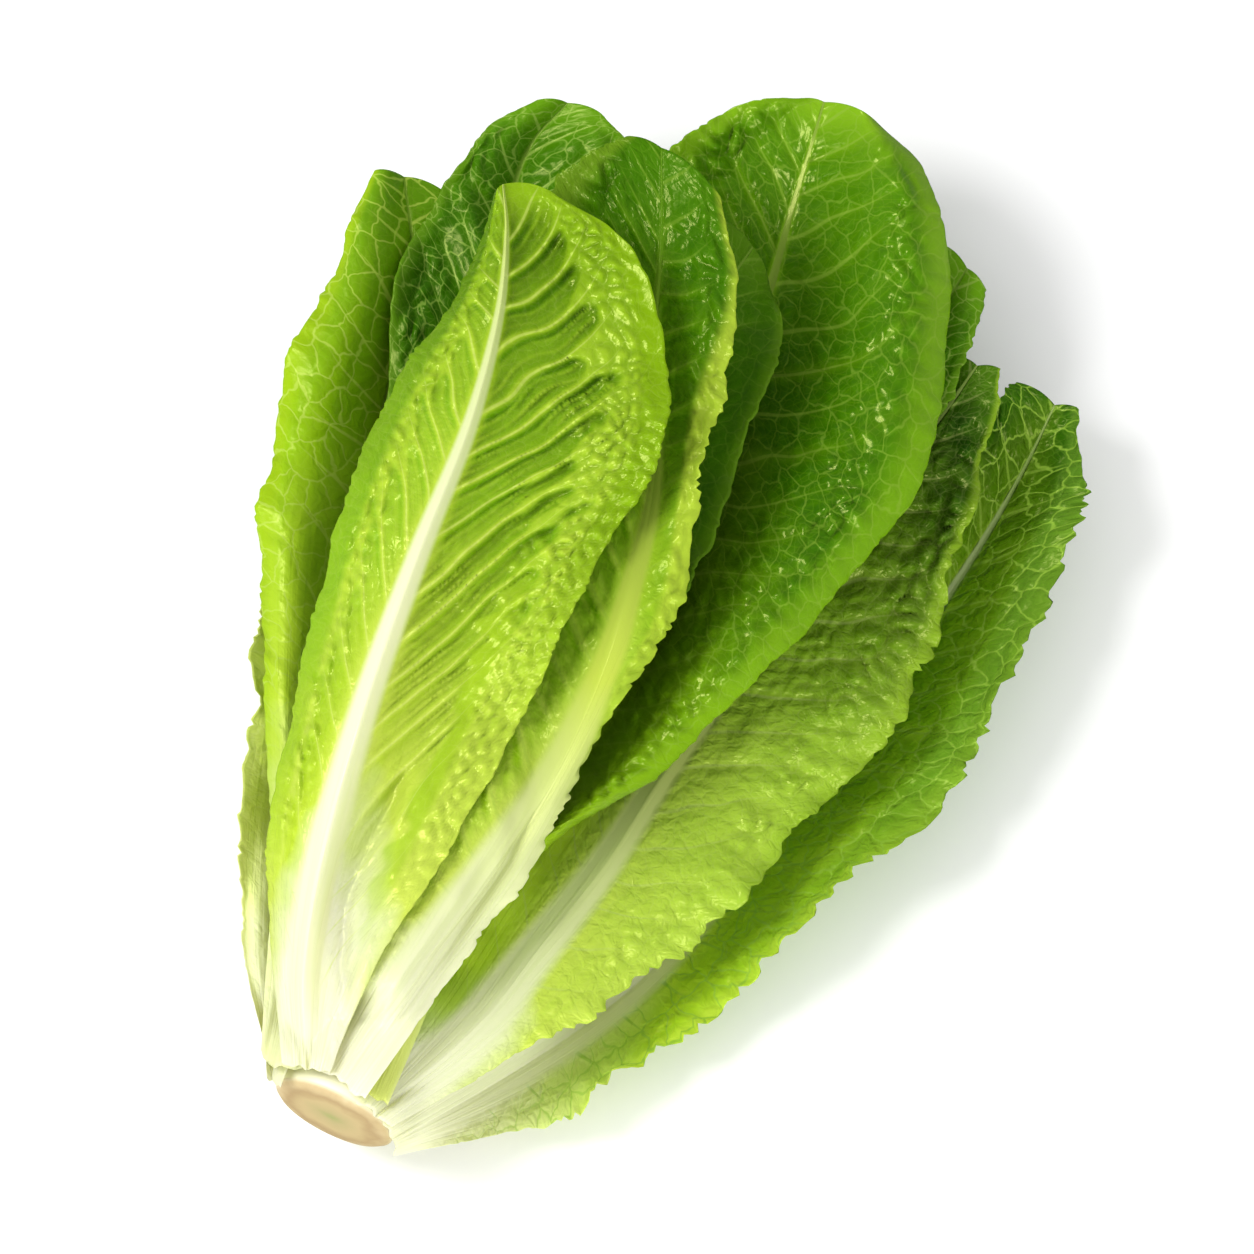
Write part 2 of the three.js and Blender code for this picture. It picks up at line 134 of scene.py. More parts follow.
soft_light("key", (-850, 600, 1100), 0.7, 15)
soft_light("fill", (400, -1100, 1000), 1.0, 16)
soft_light("left", (-1300, -400, 600), 1.0, 8)

# ---- The leaf's surface pattern -------------------------------------------------------------------
# Romaine blades have a broad midrib, side veins that leave it at a slant, and a net of small veins
# with the blade blistered between them. The masks are shared by every leaf's material.


class Graph:
    """A few short ways of adding nodes to a tree."""

    def __init__(self, tree):
        self.tree = tree

    def put(self, socket, value):
        """Links another node's output to the socket, or sets a plain value."""
        if isinstance(value, bpy.types.NodeSocket):
            self.tree.links.new(value, socket)
        elif isinstance(value, tuple) and len(value) == 3 and socket.type == "RGBA":
            socket.default_value = (*value, 1)
        else:
            socket.default_value = value

    def node(self, kind, **inputs):
        made = self.tree.nodes.new("ShaderNode" + kind)
        for key, value in inputs.items():
            self.put(made.inputs[key.replace("_", " ")], value)
        return made

    def math(self, operation, *values):
        made = self.tree.nodes.new("ShaderNodeMath")
        made.operation = operation
        for n, value in enumerate(values):
            self.put(made.inputs[n], value)
        return made.outputs[0]

    def step(self, value, low, high, out_low=0.0, out_high=1.0):
        """A smooth step from out_low to out_high as the value goes from low to high."""
        made = self.tree.nodes.new("ShaderNodeMapRange")
        made.interpolation_type = "SMOOTHSTEP"
        for n, v in enumerate((value, low, high, out_low, out_high)):
            self.put(made.inputs[n], v)
        return made.outputs[0]

    def mix(self, factor, a, b, blend="MIX"):
        made = self.tree.nodes.new("ShaderNodeMix")
        made.data_type = "RGBA"
        made.blend_type = blend
        self.put(made.inputs[0], factor)
        self.put(made.inputs[6], a)
        self.put(made.inputs[7], b)
        return made.outputs[2]

    def ramp(self, value, colors, stops):
        made = self.tree.nodes.new("ShaderNodeValToRGB")
        self.put(made.inputs[0], value)
        ramp = made.color_ramp
        while len(ramp.elements) < len(stops):
            ramp.elements.new(0.5)
        for element, color, stop in zip(ramp.elements, colors, stops):
            element.position = stop
            element.color = (*color, 1)
        return made.outputs[0]

    def voronoi(self, vector, scale):
        made = self.node("TexVoronoi", Vector=vector, Scale=scale)
        made.voronoi_dimensions = "2D"
        made.feature = "DISTANCE_TO_EDGE"
        return made.outputs["Distance"]

    def noise(self, vector, scale, detail=2.0):
        return self.node("TexNoise", Vector=vector, Scale=scale, Detail=detail).outputs["Fac"]

    def vector(self, x, y, z=0.0):
        made = self.tree.nodes.new("ShaderNodeCombineXYZ")
        for n, v in enumerate((x, y, z)):
            self.put(made.inputs[n], v)
        return made.outputs[0]

    def split(self, name):
        """The three values that a leaf keeps at each point under this name."""
        made = self.tree.nodes.new("ShaderNodeAttribute")
        made.attribute_name = name
        return self.node("SeparateXYZ", Vector=made.outputs["Vector"]).outputs


pattern = bpy.data.node_groups.new("leaf pattern", "ShaderNodeTree")
for name in ("Spacing", "Cell"):
    pattern.interface.new_socket(name, in_out="INPUT", socket_type="NodeSocketFloat")
MASKS = ("Side", "Length", "Rib", "Lateral", "Twig", "Net", "Fine", "Dome", "Wrinkle", "Streak", "Patch")
for name in MASKS:
    pattern.interface.new_socket(name, in_out="OUTPUT", socket_type="NodeSocketFloat")
g = Graph(pattern)
given = pattern.nodes.new("NodeGroupInput").outputs
result = pattern.nodes.new("NodeGroupOutput")
side, length, vein = g.split("leaf_place")
across, along, ratio = g.split("leaf_mm")
twig = g.split("leaf_twig")[0]
streak = g.noise(g.vector(g.math("MULTIPLY", side, 11.0), g.math("MULTIPLY", length, 4.0)), 1.0, 3.0)
side = g.math("ABSOLUTE", side)
rib = g.step(g.math("ABSOLUTE", ratio), 0.55, 1.1, 1.0, 0.0)
# distance in millimetres to the nearest side vein
turns = g.math("FRACT", g.math("ADD", vein, 0.5))
off = g.math("MULTIPLY", g.math("ABSOLUTE", g.math("SUBTRACT", turns, 0.5)), given["Spacing"])
thick = g.step(side, 0.0, 0.85, 0.9, 0.3)
lateral = g.math("SUBTRACT", 1.0, g.step(off, g.math("MULTIPLY", thick, 0.3), thick))
lateral = g.math("MULTIPLY", lateral, g.step(side, 0.3, 0.9, 1.0, 0.0))
# and to the twigs that leave it
turns = g.math("FRACT", g.math("ADD", twig, 0.5))
twig = g.math("MULTIPLY", g.math("ABSOLUTE", g.math("SUBTRACT", turns, 0.5)), given["Spacing"])
twig = g.math("MULTIPLY", g.step(twig, 0.25, 1.1, 1.0, 0.0), g.step(side, 0.6, 0.85, 1.0, 0.0))
grown = g.step(g.math("ADD", length, g.math("MULTIPLY", side, 0.2)), 0.15, 0.45)
# two nets of veins, bent so that no line is straight
flat = g.vector(across, along)
bend = g.tree.nodes.new("ShaderNodeVectorMath")
bend.operation = "MULTIPLY_ADD"
g.put(bend.inputs[0], g.node("TexNoise", Vector=flat, Scale=0.17, Detail=2.0).outputs["Color"])
bend.inputs[1].default_value = (5.0, 5.0, 0.0)
g.put(bend.inputs[2], flat)
bent = bend.outputs[0]
big = g.voronoi(bent, g.math("DIVIDE", 1.0, given["Cell"]))
small = g.voronoi(bent, g.math("DIVIDE", 2.6, given["Cell"]))
net = g.math("SUBTRACT", 1.0, g.step(big, 0.015, 0.06))
fine = g.math("SUBTRACT", 1.0, g.step(small, 0.02, 0.1))
dome = g.step(big, 0.0, 0.4)
dome = g.math("ADD", dome, g.math("MULTIPLY", g.step(small, 0.0, 0.4), 0.3))
dome = g.math("ADD", dome, g.math("MULTIPLY", g.noise(flat, 0.3), 0.5))
# wrinkles that run with the side veins
past = g.math("MULTIPLY", vein, given["Spacing"])
run = g.vector(g.math("MULTIPLY", past, 0.36), g.math("MULTIPLY", across, 0.1))
wrinkle = g.noise(run, 1.0, 2.0)
for name, value in {
    "Side": side,
    "Length": length,
    "Rib": rib,
    "Lateral": lateral,
    "Twig": twig,
    "Net": g.math("MULTIPLY", net, grown),
    "Fine": g.math("MULTIPLY", fine, grown),
    "Dome": dome,
    "Wrinkle": wrinkle,
    "Streak": g.math("MULTIPLY", g.step(streak, 0.42, 0.6), g.step(length, 0.25, 0.7, 1.0, 0.0)),
    "Patch": g.noise(flat, 0.05),
}.items():
    g.put(result.inputs[name], value)


def linear(color):
    """A display colour, 0 to 255, as the renderer's linear one."""
    return tuple(((c / 255 + 0.055) / 1.055) ** 2.4 if c > 10 else c / 3295 for c in color)


STOPS = (0.0, 0.25, 0.55, 0.9)


def leaf_material(name, raised, hollow, rib, vein, rim, glow_tint=(190, 215, 20), spacing=13.0, cell=5.0,
                  stops=STOPS, net=0.3, fine=0.1, lateral=0.4, twig=0.2, blister=0.4, wrinkle=0.3, gloss=0.4,
                  rough=0.28, through=0.3, lag=0.12):
    """raised, hollow and rib are colours from foot to tip: of the ridges, between them, and of the midrib.
    spacing and cell are the sizes of side veins and net in mm, net to twig how strongly each shows, blister
    and wrinkle bumps in mm, through the light let through, lag how far up the pale foot reaches."""
    material = bpy.data.materials.new(name)
    material.use_nodes = True
    tree = material.node_tree
    tree.nodes.clear()
    g = Graph(tree)
    p = tree.nodes.new("ShaderNodeGroup")
    p.node_tree = pattern
    p.inputs["Spacing"].default_value = spacing
    p.inputs["Cell"].default_value = cell
    p = p.outputs
    relief, edge, glow_band = g.split("leaf_paint")
    # the pale foot of the blade reaches further up beside the rib
    late = g.math("MULTIPLY", g.math("SUBTRACT", 1.0, p["Side"]), lag)
    grown = g.math("SUBTRACT", p["Length"], late)
    grown = g.math("ADD", grown, g.math("MULTIPLY", g.math("SUBTRACT", p["Patch"], 0.5), 0.16))
    pale = g.ramp(grown, [linear(c) for c in raised], stops)
    deep = g.ramp(grown, [linear(c) for c in hollow], stops)
    # the hollow colour, mixed in by relief, is the blade's own green, darkened in part as painted shade
    color = g.mix(relief, deep, pale)
    # painted light: the glow band lays a bright lime where light comes through a fold or where a half lies
    # in shadow
    color = g.mix(glow_band, color, linear(glow_tint))
    calm = g.math("SUBTRACT", 1.0, glow_band)
    vein = linear(vein)
    color = g.mix(g.math("MULTIPLY", g.math("MULTIPLY", p["Twig"], twig), calm), color, pale)
    color = g.mix(edge, color, linear(rim))
    color = g.mix(g.math("MULTIPLY", p["Net"], net), color, vein)
    color = g.mix(g.math("MULTIPLY", p["Fine"], fine), color, vein)
    color = g.mix(g.math("MULTIPLY", p["Lateral"], lateral), color, vein)
    stalk = g.ramp(p["Length"], [linear(c) for c in rib], (0.0, 0.45, 0.9))
    color = g.mix(p["Rib"], color, stalk)
    streaked = g.mix(1.0, color, (0.9, 0.97, 0.72), "MULTIPLY")
    color = g.mix(g.math("MULTIPLY", p["Streak"], 0.28), color, streaked)
    rough_skin = g.math("MULTIPLY", g.math("SUBTRACT", 1.0, p["Rib"]), calm)
    height = g.math("MULTIPLY", p["Dome"], blister)
    height = g.math("ADD", height, g.math("MULTIPLY", p["Wrinkle"], wrinkle))
    height = g.math("MULTIPLY_ADD", height, rough_skin, g.math("MULTIPLY", p["Streak"], 0.08))
    bump = g.node("Bump", Height=height, Strength=1.0, Distance=0.001)
    bsdf = g.node("BsdfPrincipled", Base_Color=color, Roughness=rough, Normal=bump.outputs[0])
    bsdf.inputs["Specular IOR Level"].default_value = gloss
    bsdf.inputs["Specular Tint"].default_value = (1, 1, 0.35, 1)
    lit = g.mix(1.0, color, (1.0, 1.0, 0.5), "MULTIPLY")
    glow = g.node("BsdfTranslucent", Color=lit, Normal=bump.outputs[0])
    both = g.node("MixShader", Fac=through)
    g.put(both.inputs[1], bsdf.outputs[0])
    g.put(both.inputs[2], glow.outputs[0])
    g.put(g.node("OutputMaterial").inputs["Surface"], both.outputs[0])
    return material


# ---- Laying and making a leaf ---------------------------------------------------------------------
# Each leaf is drawn by its two margins and its rib and laid on the pile of those before it. It gets
# its side veins, blisters, ruffles and teeth, and is thickened along the rib. Lengths are in mm.
BLADE = 1.0
REST_GAP = 0.6
PRESSED_GAP = 0.3
PILE_SIDE = 420
PILE_LEFT = 120
PILE_FOOT = 60
BARE = -400.0
pile = np.full((PILE_SIDE, PILE_SIDE), BARE)


def rail(points, t):
    """A smooth line through the points, as a Catmull-Rom spline."""
    p = on_sheet(points)
    p = np.vstack([2 * p[0] - p[1], p, 2 * p[-1] - p[-2]])
    x = np.clip(t * (len(p) - 3), 0, len(p) - 3 - 1e-9)
    i = x.astype(int)
    w = (x - i)[:, None]
    a, b, c, d = p[i], p[i + 1], p[i + 2], p[i + 3]
    m, n = 0.5 * (c - a), 0.5 * (d - b)
    return b + w * m + w**2 * (3 * c - 3 * b - 2 * m - n) + w**3 * (2 * b - 2 * c + m + n)


def ease(x, low, high):
    """A smooth step from 0 at low to 1 at high."""
    x = np.clip((x - low) / (high - low), 0, 1)
    return x * x * (3 - 2 * x)


def field(x, y, size, seed):
    """Smooth random heights from -1 to 1, with bumps size mm apart."""
    draw = np.random.default_rng(seed).uniform(-1, 1, (97, 97))
    x, y = x / size + 300, y / size + 300
    i, j = np.floor(x).astype(int), np.floor(y).astype(int)
    f, h = x - i, y - j
    f, h = f * f * (3 - 2 * f), h * h * (3 - 2 * h)
    i, j = i % 96, j % 96
    low = draw[i, j] * (1 - f) + draw[i + 1, j] * f
    high = draw[i, j + 1] * (1 - f) + draw[i + 1, j + 1] * f
    return low * (1 - h) + high * h


def bubbles(x, y, size, seed):
    """Domes with creases between them, 0 to 1, about size mm across."""
    draw = np.random.default_rng(seed).uniform(0.1, 0.9, (64, 64, 2))
    x, y = x / size + 320, y / size + 320
    i, j = np.floor(x).astype(int), np.floor(y).astype(int)
    first = np.full(x.shape, 9.0)
    second = np.full(x.shape, 9.0)
    for a in (-1, 0, 1):
        for b in (-1, 0, 1):
            spot = draw[(i + a) % 64, (j + b) % 64]
            d = np.hypot(i + a + spot[..., 0] - x, j + b + spot[..., 1] - y)
            second = np.minimum(second, np.maximum(first, d))
            first = np.minimum(first, d)
    return ease(second - first, 0, 0.7)


def widest(a, reach):
    """The largest value within reach grid steps."""
    a = np.pad(a, reach, mode="edge")
    for axis in (0, 1):
        best = a.copy()
        for n in range(1, reach + 1):
            best = np.maximum(best, np.maximum(np.roll(a, n, axis), np.roll(a, -n, axis)))
        a = best
    return a[reach:-reach, reach:-reach]


def soften(a, passes):
    """Each value evened out with its four neighbours."""
    for _ in range(passes):
        b = np.pad(a, 1, mode="edge")
        a = (b[1:-1, 1:-1] * 2 + b[:-2, 1:-1] + b[2:, 1:-1] + b[1:-1, :-2] + b[1:-1, 2:]) / 6
    return a


def cells(u, v):
    """The pile's cells, 1 mm square, under sheet points."""
    i = np.clip(np.rint(u + PILE_LEFT).astype(int), 1, PILE_SIDE - 2)
    j = np.clip(np.rint(v + PILE_FOOT).astype(int), 1, PILE_SIDE - 2)
    return j, i


def raise_pile(u, v, h):
    """The pile grows to the heights h."""
    np.maximum.at(pile, cells(u, v), h)


def loose(T):
    """How freely the blade waves: not at its foot, and less at its tip."""
    return ease(T, 0, 0.25) * (1 - 0.6 * ease(T, 0.8, 1))


def spread(rows, fine, belly, wave):
    """The leaf's grid, T along it and S across it, with its rib, margins and points on the sheet."""
    count, breadth = fine
    rows = np.array(rows, float)
    t = np.linspace(0, 1, count)
    c = np.linspace(-1, 1, breadth)
    T, S = np.meshgrid(t, np.sign(c) * np.abs(c) ** 1.15, indexing="ij")
    A = np.abs(S)
    left, heart, right = (rail(rows[:, k], t)[:, None] for k in range(3))
    edge = np.where((S < 0)[..., None], left, right)
    q = heart + (edge - heart) * A[..., None]
    # bends and swells of each half, as in the solids
    for k, half in enumerate((S < 0, S >= 0)):
        at_foot, at_tip, rise = belly[k]
        at = at_foot + (at_tip - at_foot) * T
        bend = np.sin(pi * np.clip(A, 1e-6, 1) ** (np.log(0.5) / np.log(at)))
        swell = wave[0] * A**2.5 * np.sin(2 * pi * (wave[1] * T + 0.3 * k))
        q[..., 2] += np.where(half, loose(T) * (rise * bend + swell), 0)
    return T, S, heart, edge, q


def side_veins(T, S, across, along, spacing, slant, pocket, seed):
    """The side veins, the smaller ones between them, and how far each spot is from them."""
    A = np.abs(S)
    lean = np.where(S < 0, slant[0], slant[1])
    wander = 0.36 * field(across, along, 26, seed) + 0.1 * field(across, along, 9, seed + 9)
    vein = (along - lean * np.abs(across) * (0.85 + 0.3 * A)) / spacing + 0.45 * (S < 0) + wander
    signed = ((vein + 0.5) % 1 - 0.5) * spacing
    near = np.abs(signed)
    # each vein has its own strength
    lot = np.random.default_rng(seed).uniform(0.35, 1.2, 200)[np.floor(vein + 0.5).astype(int) + 2 * (S < 0)]
    zone = ease(A, 0.45, 0.7)
    core = lot * np.exp(-((near / 1.6) ** 2)) * (1 - 0.5 * zone)
    main = lot * (0.5 + 0.5 * np.cos(2 * pi * vein)) ** 2 * (1 - 0.5 * zone)
    main = 0.55 * main + 0.45 * core
    # the hollows between them close in an arch part of the way out
    draw = np.random.default_rng(seed + 5).uniform(-0.1, 0.1, 200)[np.floor(vein).astype(int) + 2 * (S < 0)]
    end = pocket + 0.25 * (0.6 - T) + draw + 0.1 * field(across, along, 7, seed + 15)
    end = end - 0.2 * (1 - 2 * near / spacing) ** 2
    closed = ease(A, end - 0.12, end)
    main = main + (0.8 + 0.2 * main - main) * closed
    twig = (1.45 * np.abs(across) - 2.2 * near) / (0.5 * spacing) + 0.6 * field(across, along, 9, seed + 7)
    off = np.abs((3 * vein + 0.5 * field(across, along, 12, seed + 7) + 0.5) % 1 - 0.5) * spacing / 3
    minor = np.exp(-((off / 0.8) ** 2)) * (0.5 + 0.5 * field(across, along, 12, seed + 8)) * (1 - main)
    return SimpleNamespace(
        vein=vein, signed=signed, near=near, zone=zone, closed=closed, main=main, minor=minor, twig=twig
    )


def lay(q, extra, detail, rib_up):
    """Lays the leaf on the pile and makes it part of it; its top and its thickness."""
    under = q[..., 2] - 0.5 * BLADE - (0 if rib_up else extra)
    j, i = cells(q[..., 0], q[..., 1])
    below = np.max([pile[j + a, i + b] for a in (-1, 0, 1) for b in (-1, 0, 1)], axis=0)
    under += soften(widest(np.maximum(below + REST_GAP - under, 0), 2), 10) + detail
    # what the detail sinks into the leaf below is pressed back out
    under += soften(np.maximum(below + PRESSED_GAP - under, 0), 1)
    thick = BLADE + extra
    top = under + thick
    if not rib_up:
        # on the table the rib is pressed flat
        table = (-BUTT - q[..., 1] * UP[2]) / SIGHT[2]
        rise = np.maximum(table - (top - thick), 0)
        pressed = np.maximum(thick - rise, 0.8)
        top = top + np.maximum(rise - (thick - pressed), 0)
        thick = pressed
    count, breadth = top.shape
    for a in (0, 0.5):
        for b in (0, 0.5):
            corners = ((0, 0, (1 - a) * (1 - b)), (1, 0, a * (1 - b)), (0, 1, (1 - a) * b), (1, 1, a * b))
            mixed = [
                sum(w * z[m : count - 1 + m, n : breadth - 1 + n] for m, n, w in corners)
                for z in (q[..., 0], q[..., 1], top)
            ]
            raise_pile(*mixed)
    return top, thick


def two_skins(name, q, top, thick):
    """A closed mesh of an upper and a lower skin, with the grid row and column of each point."""
    count, breadth = top.shape
    bm = bmesh.new()
    for z in (0.01, -0.01):
        low = Matrix.Translation((0, 0, z))
        bmesh.ops.create_grid(bm, x_segments=breadth - 1, y_segments=count - 1, size=1, matrix=low)
    bmesh.ops.reverse_faces(bm, faces=[f for f in bm.faces if f.calc_center_median().z < 0])
    bmesh.ops.bridge_loops(bm, edges=[e for e in bm.edges if e.is_boundary])
    mesh = bpy.data.meshes.new(name + "_blade")
    bm.to_mesh(mesh)
    bm.free()
    grid = np.empty(len(mesh.vertices) * 3)
    mesh.vertices.foreach_get("co", grid)
    grid = grid.reshape(-1, 3)
    col = np.rint((grid[:, 0] + 1) / 2 * (breadth - 1)).astype(int)
    row = np.rint((grid[:, 1] + 1) / 2 * (count - 1)).astype(int)
    skin = np.where(grid[:, 2] > 0, top[row, col], (top - thick)[row, col])
    mesh.vertices.foreach_set("co", in_space(np.stack([q[row, col, 0], q[row, col, 1], skin], -1)).ravel())
    mesh.polygons.foreach_set("use_smooth", [True] * len(mesh.polygons))
    return mesh, row, col


def plain(S, T, along):
    """Masks from 0 to 1: relief's strength, deep colour (painted shade where a fold or a curled margin turns
    from the light), light margin, band of painted glow, and crumples.
    """
    rim = ease(np.abs(S), 0.86, 0.97) * 0.7 * ease(T, 0.2, 0.5)
    return dict(relief=1.0, deep=0.0, rim=rim, glow_band=0.0, crumple=0.0)


def leaf(name, look, rows, rib, belly, wave, rib_up=False, fine=(200, 74), seed=1, paint=plain,
         broad=1.0, slant=(1.0, 1.0), ridge=(0.8, 0.8), pocket=2.0, bubble=(0.4, 5.0), frill=1.0,
         lobes=(1.0, 9.0), teeth=1.0):
    """rows: left margin, rib and right margin from foot to tip; rib: its depth and width; belly, wave: the
    bend of each half and the swells of its margin; rib_up: the leaf's back faces the eye; fine: grid points
    along and across; broad: how much wider the rib's right side is near the foot; slant, ridge: forward
    slant and height of the side veins left and right of the rib; pocket: how far out the hollows between
    them reach; bubble: height and size of the blisters; frill: waving of the margin; lobes, teeth: how its
    outline wanders."""
    T, S, heart, edge, q = spread(rows, fine, belly, wave)
    A = np.abs(S)
    free = loose(T)
    span = np.hypot(edge[..., 0] - heart[..., 0], edge[..., 1] - heart[..., 1])
    across = span * S
    steps = np.linalg.norm(np.diff(heart[:, 0], axis=0), axis=1)
    along = np.concatenate([[0], np.cumsum(steps)])[:, None] + 0 * S
    # the rib, which fills the stalk at its foot
    depth = rib[0] * (1 - T) ** 1.1 * (0.35 + 0.65 * ease(T, 0, 0.12)) + 0.3
    half_rib = (rib[1] / 2) * (1 - T) ** 1.35 + 0.35
    half_rib = half_rib * (1 + (broad - 1) * (S > 0) * (1 - ease(T, 0.25, 0.45)))
    ratio = np.abs(across) / half_rib
    stalk = (1 - T) ** 6 * np.sqrt(np.clip(1 - A**2, 0, 1))
    extra = depth * np.maximum(np.clip(1 - ratio**2, 0, 1) ** 1.5, 0.95 * stalk)
    # side veins, raised where the back faces the eye and sunk on the face, and blisters between them
    v = side_veins(T, S, across, along, look.get("spacing", 13.0), slant, pocket, seed)
    mask = {**plain(S, T, along), **paint(S, T, along)}
    glow_band = mask["glow_band"]
    strength = mask["relief"] * ease(ratio, 0.7, 1.8) * (1 - 0.85 * ease(A, 0.78, 0.95)) * ease(T, 0.03, 0.3)
    strength = strength * (1 - ease(T, 0.86, 0.99)) * (1 - np.clip(glow_band, 0, 1))
    high = np.where(S < 0, ridge[0], ridge[1]) * strength
    sway = 4 * field(across, along, 9, seed + 13)
    puff = bubbles(q[..., 0] + sway, q[..., 1] - sway, bubble[1], seed + 1)
    if rib_up:
        # each ridge dips the hollow on its foot side, and that strip is painted darker as painted shade
        # under the ridge
        shade = np.exp(-(((v.signed + 2.8) / 1.5) ** 2)) * (1 - v.closed)
        detail = high * (0.8 * v.main + 0.7 * v.minor - 0.6 * (1 - v.main) - 0.2 * shade)
        # the hollows and the creases between blisters are painted darker, in part as painted shade; the
        # ridges' pale colour is the veins' own
        relief = 0.3 + 0.5 * ease(v.main, 0.15, 0.7) + 0.24 * np.exp(-((v.near / 0.8) ** 2)) * (1 - v.zone)
        relief += 0.5 * v.minor * (1 - v.closed) - 0.3 * shade + v.zone * 0.35 * (puff - 0.5)
    else:
        detail = high * (0.4 - 0.9 * v.main - 0.35 * v.minor)
        relief = 0.5 * np.maximum(v.main, 0.6 * v.minor)
    patchy = 1 + 0.6 * field(across, along, 16, seed + 14)
    detail += bubble[0] * strength * (0.3 + v.zone) * patchy * (puff - 0.5)
    detail += mask["crumple"] * (2 * bubbles(q[..., 0], q[..., 1], 4.5, seed + 11) - 1)
    detail += 0.9 * field(across, along, 20, seed + 2) * ease(ratio, 0.8, 2.5) * free
    # the margin ripples, and the outline wanders in lobes with teeth between them
    margin = along + 60 * (S > 0)
    ripple = field(margin, 0 * T, 8.5, seed + 3) + 0.5 * field(margin, 0 * T, 4, seed + 4)
    detail += frill * ripple * A**4 * free
    out = (edge - heart)[..., :2] / np.maximum(span, 1e-3)[..., None]
    saw = np.abs(field(margin, 0 * T, 3.0, seed + 5)) - 0.4
    reach = lobes[0] * field(margin, 0 * T, lobes[1], seed + 6) + teeth * saw
    q[..., :2] += out * (reach * ease(A, 0.75, 1.0) * free)[..., None]
    # the tip is rounded between the rib and the margins, and the foot ends in torn shreds
    crown = 0.4 * span * A * (1 - A) * ease(T, 0.86, 1)
    torn = (field(across, 0 * T, 1.8, seed + 12) - 1.2) * (1 - ease(T, 0, 0.05))
    for shift, ahead in ((crown, heart[-1] - heart[-4]), (torn, heart[1] - heart[0])):
        q[..., :2] += shift[..., None] * ahead[0, :2] / np.linalg.norm(ahead[0, :2])
    top, thick = lay(q, extra, detail, rib_up)

    mesh, row, col = two_skins(name, q, top, thick)
    relief = (1 - (1 - np.clip(relief, 0, 1)) * np.clip(strength, 0, 1)) * (1 - mask["deep"])
    kept = {
        "leaf_place": (S, T, v.vein),
        "leaf_mm": (across, along, across / half_rib),
        "leaf_paint": (relief, mask["rim"] + 0 * S, glow_band + 0 * S),
        "leaf_twig": (v.twig, 0 * S, 0 * S),
    }
    for key, values in kept.items():
        layer = mesh.attributes.new(key, "FLOAT_VECTOR", "POINT")
        layer.data.foreach_set("vector", np.stack(values, -1)[row, col].ravel())
    mesh.materials.append(leaf_material(name, **look))
    made = bpy.data.objects.new(name + "_blade", mesh)
    scene.collection.objects.link(made)
    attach(made, "root")
    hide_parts(name)


WHITE_RIB = [(236, 236, 210), (241, 241, 210), (200, 218, 110)]
THIN_RIB = [(215, 222, 150), (150, 178, 70), (120, 160, 50)]

# ---- Leaves under the stem ------------------------------------------------------------------------
# Two outer leaves carry the head, and show at its sides and underneath. They lie with the rib on the
# table, pressed flat where it touches.
UNDER = dict(
    raised=[(236, 238, 190), (180, 205, 80), (105, 150, 30), (80, 130, 20)],
    hollow=[(220, 226, 150), (150, 185, 50), (80, 128, 16), (58, 105, 10)],
    rib=WHITE_RIB, vein=(160, 190, 80), rim=(120, 165, 40), net=0.4, blister=0.6,
)
leaf(
    "under_leaf", UNDER,
    rib=[5, 18], belly=[[0.5, 0.5, -4], [0.5, 0.5, -4]], wave=[2.5, 3.5],
    rows=[
        [[-8, -3, 14], [1, -5, 10], [12, -3, 15]],
        [[-20, 38, 14], [1, 36, 5], [28, 38, 18]],
        [[-31, 80, 18], [2, 80, 3.5], [42, 80, 20]],
        [[-36, 126, 19], [2, 124, 2.5], [51, 124, 22]],
        [[-38, 172, 20], [3, 166, 2], [56, 168, 23]],
        [[-35, 212, 21], [4, 204, 2], [54, 208, 23]],
        [[-26, 242, 21], [5, 232, 7], [40, 238, 23]],
        [[-8, 258, 20], [6, 254, 16], [21, 256, 21]],
    ],
    fine=(130, 54), seed=10,
)
leaf(
    "under_left_leaf", UNDER,
    rib=[4, 14], belly=[[0.5, 0.5, -3], [0.5, 0.5, -2]], wave=[2.5, 3.5],
    rows=[
        [[-21, 1, 23], [-17, -1, 17], [-12, -2, 14]],
        [[-40, 34, 25], [-28, 36, 9], [-15, 40, 20]],
        [[-58, 72, 29], [-42, 74, 3], [-24, 82, 25]],
        [[-72, 114, 33], [-52, 114, 1.5], [-29, 124, 27]],
        [[-82, 156, 36], [-60, 152, 1.5], [-33, 166, 28]],
        [[-85, 192, 38], [-65, 188, 7], [-38, 204, 29]],
        [[-78, 220, 38], [-66, 216, 18], [-48, 226, 30]],
        [[-70, 231, 36], [-65, 231, 31], [-58, 232, 30]],
    ],
    fine=(120, 48), seed=20,
)

# ---- Stem -----------------------------------------------------------------------------------------
# The short cone that every leaf grows from, cut square across: cream flesh, browned in rings at the
# cut. A grid is wrapped round its axis to the outline, given as radius and distance from the cut.
STEM = [
    (0, -2.6), (10, -2.6), (15.5, -2.2), (17.2, -1), (17.4, 1), (16.5, 5),
    (14.5, 12), (11.5, 22), (8.5, 34), (5, 44), (0, 48),
]
CUT = [(142, 150, 84), (168, 154, 104), (178, 158, 110), (162, 138, 94), (184, 164, 120), (214, 205, 170)]
WOBBLE = 8.0
CUT_REACH = 17.5 + WOBBLE
bm = bmesh.new()
steps = len(STEM) - 1
bmesh.ops.create_grid(bm, x_segments=72, y_segments=steps, size=1)
for point in bm.verts:
    radius, reach = STEM[round((point.co.y + 1) / 2 * steps)]
    turned = pi * point.co.x
    point.co = Vector((radius * cos(turned), reach, radius * sin(turned))) * 0.001
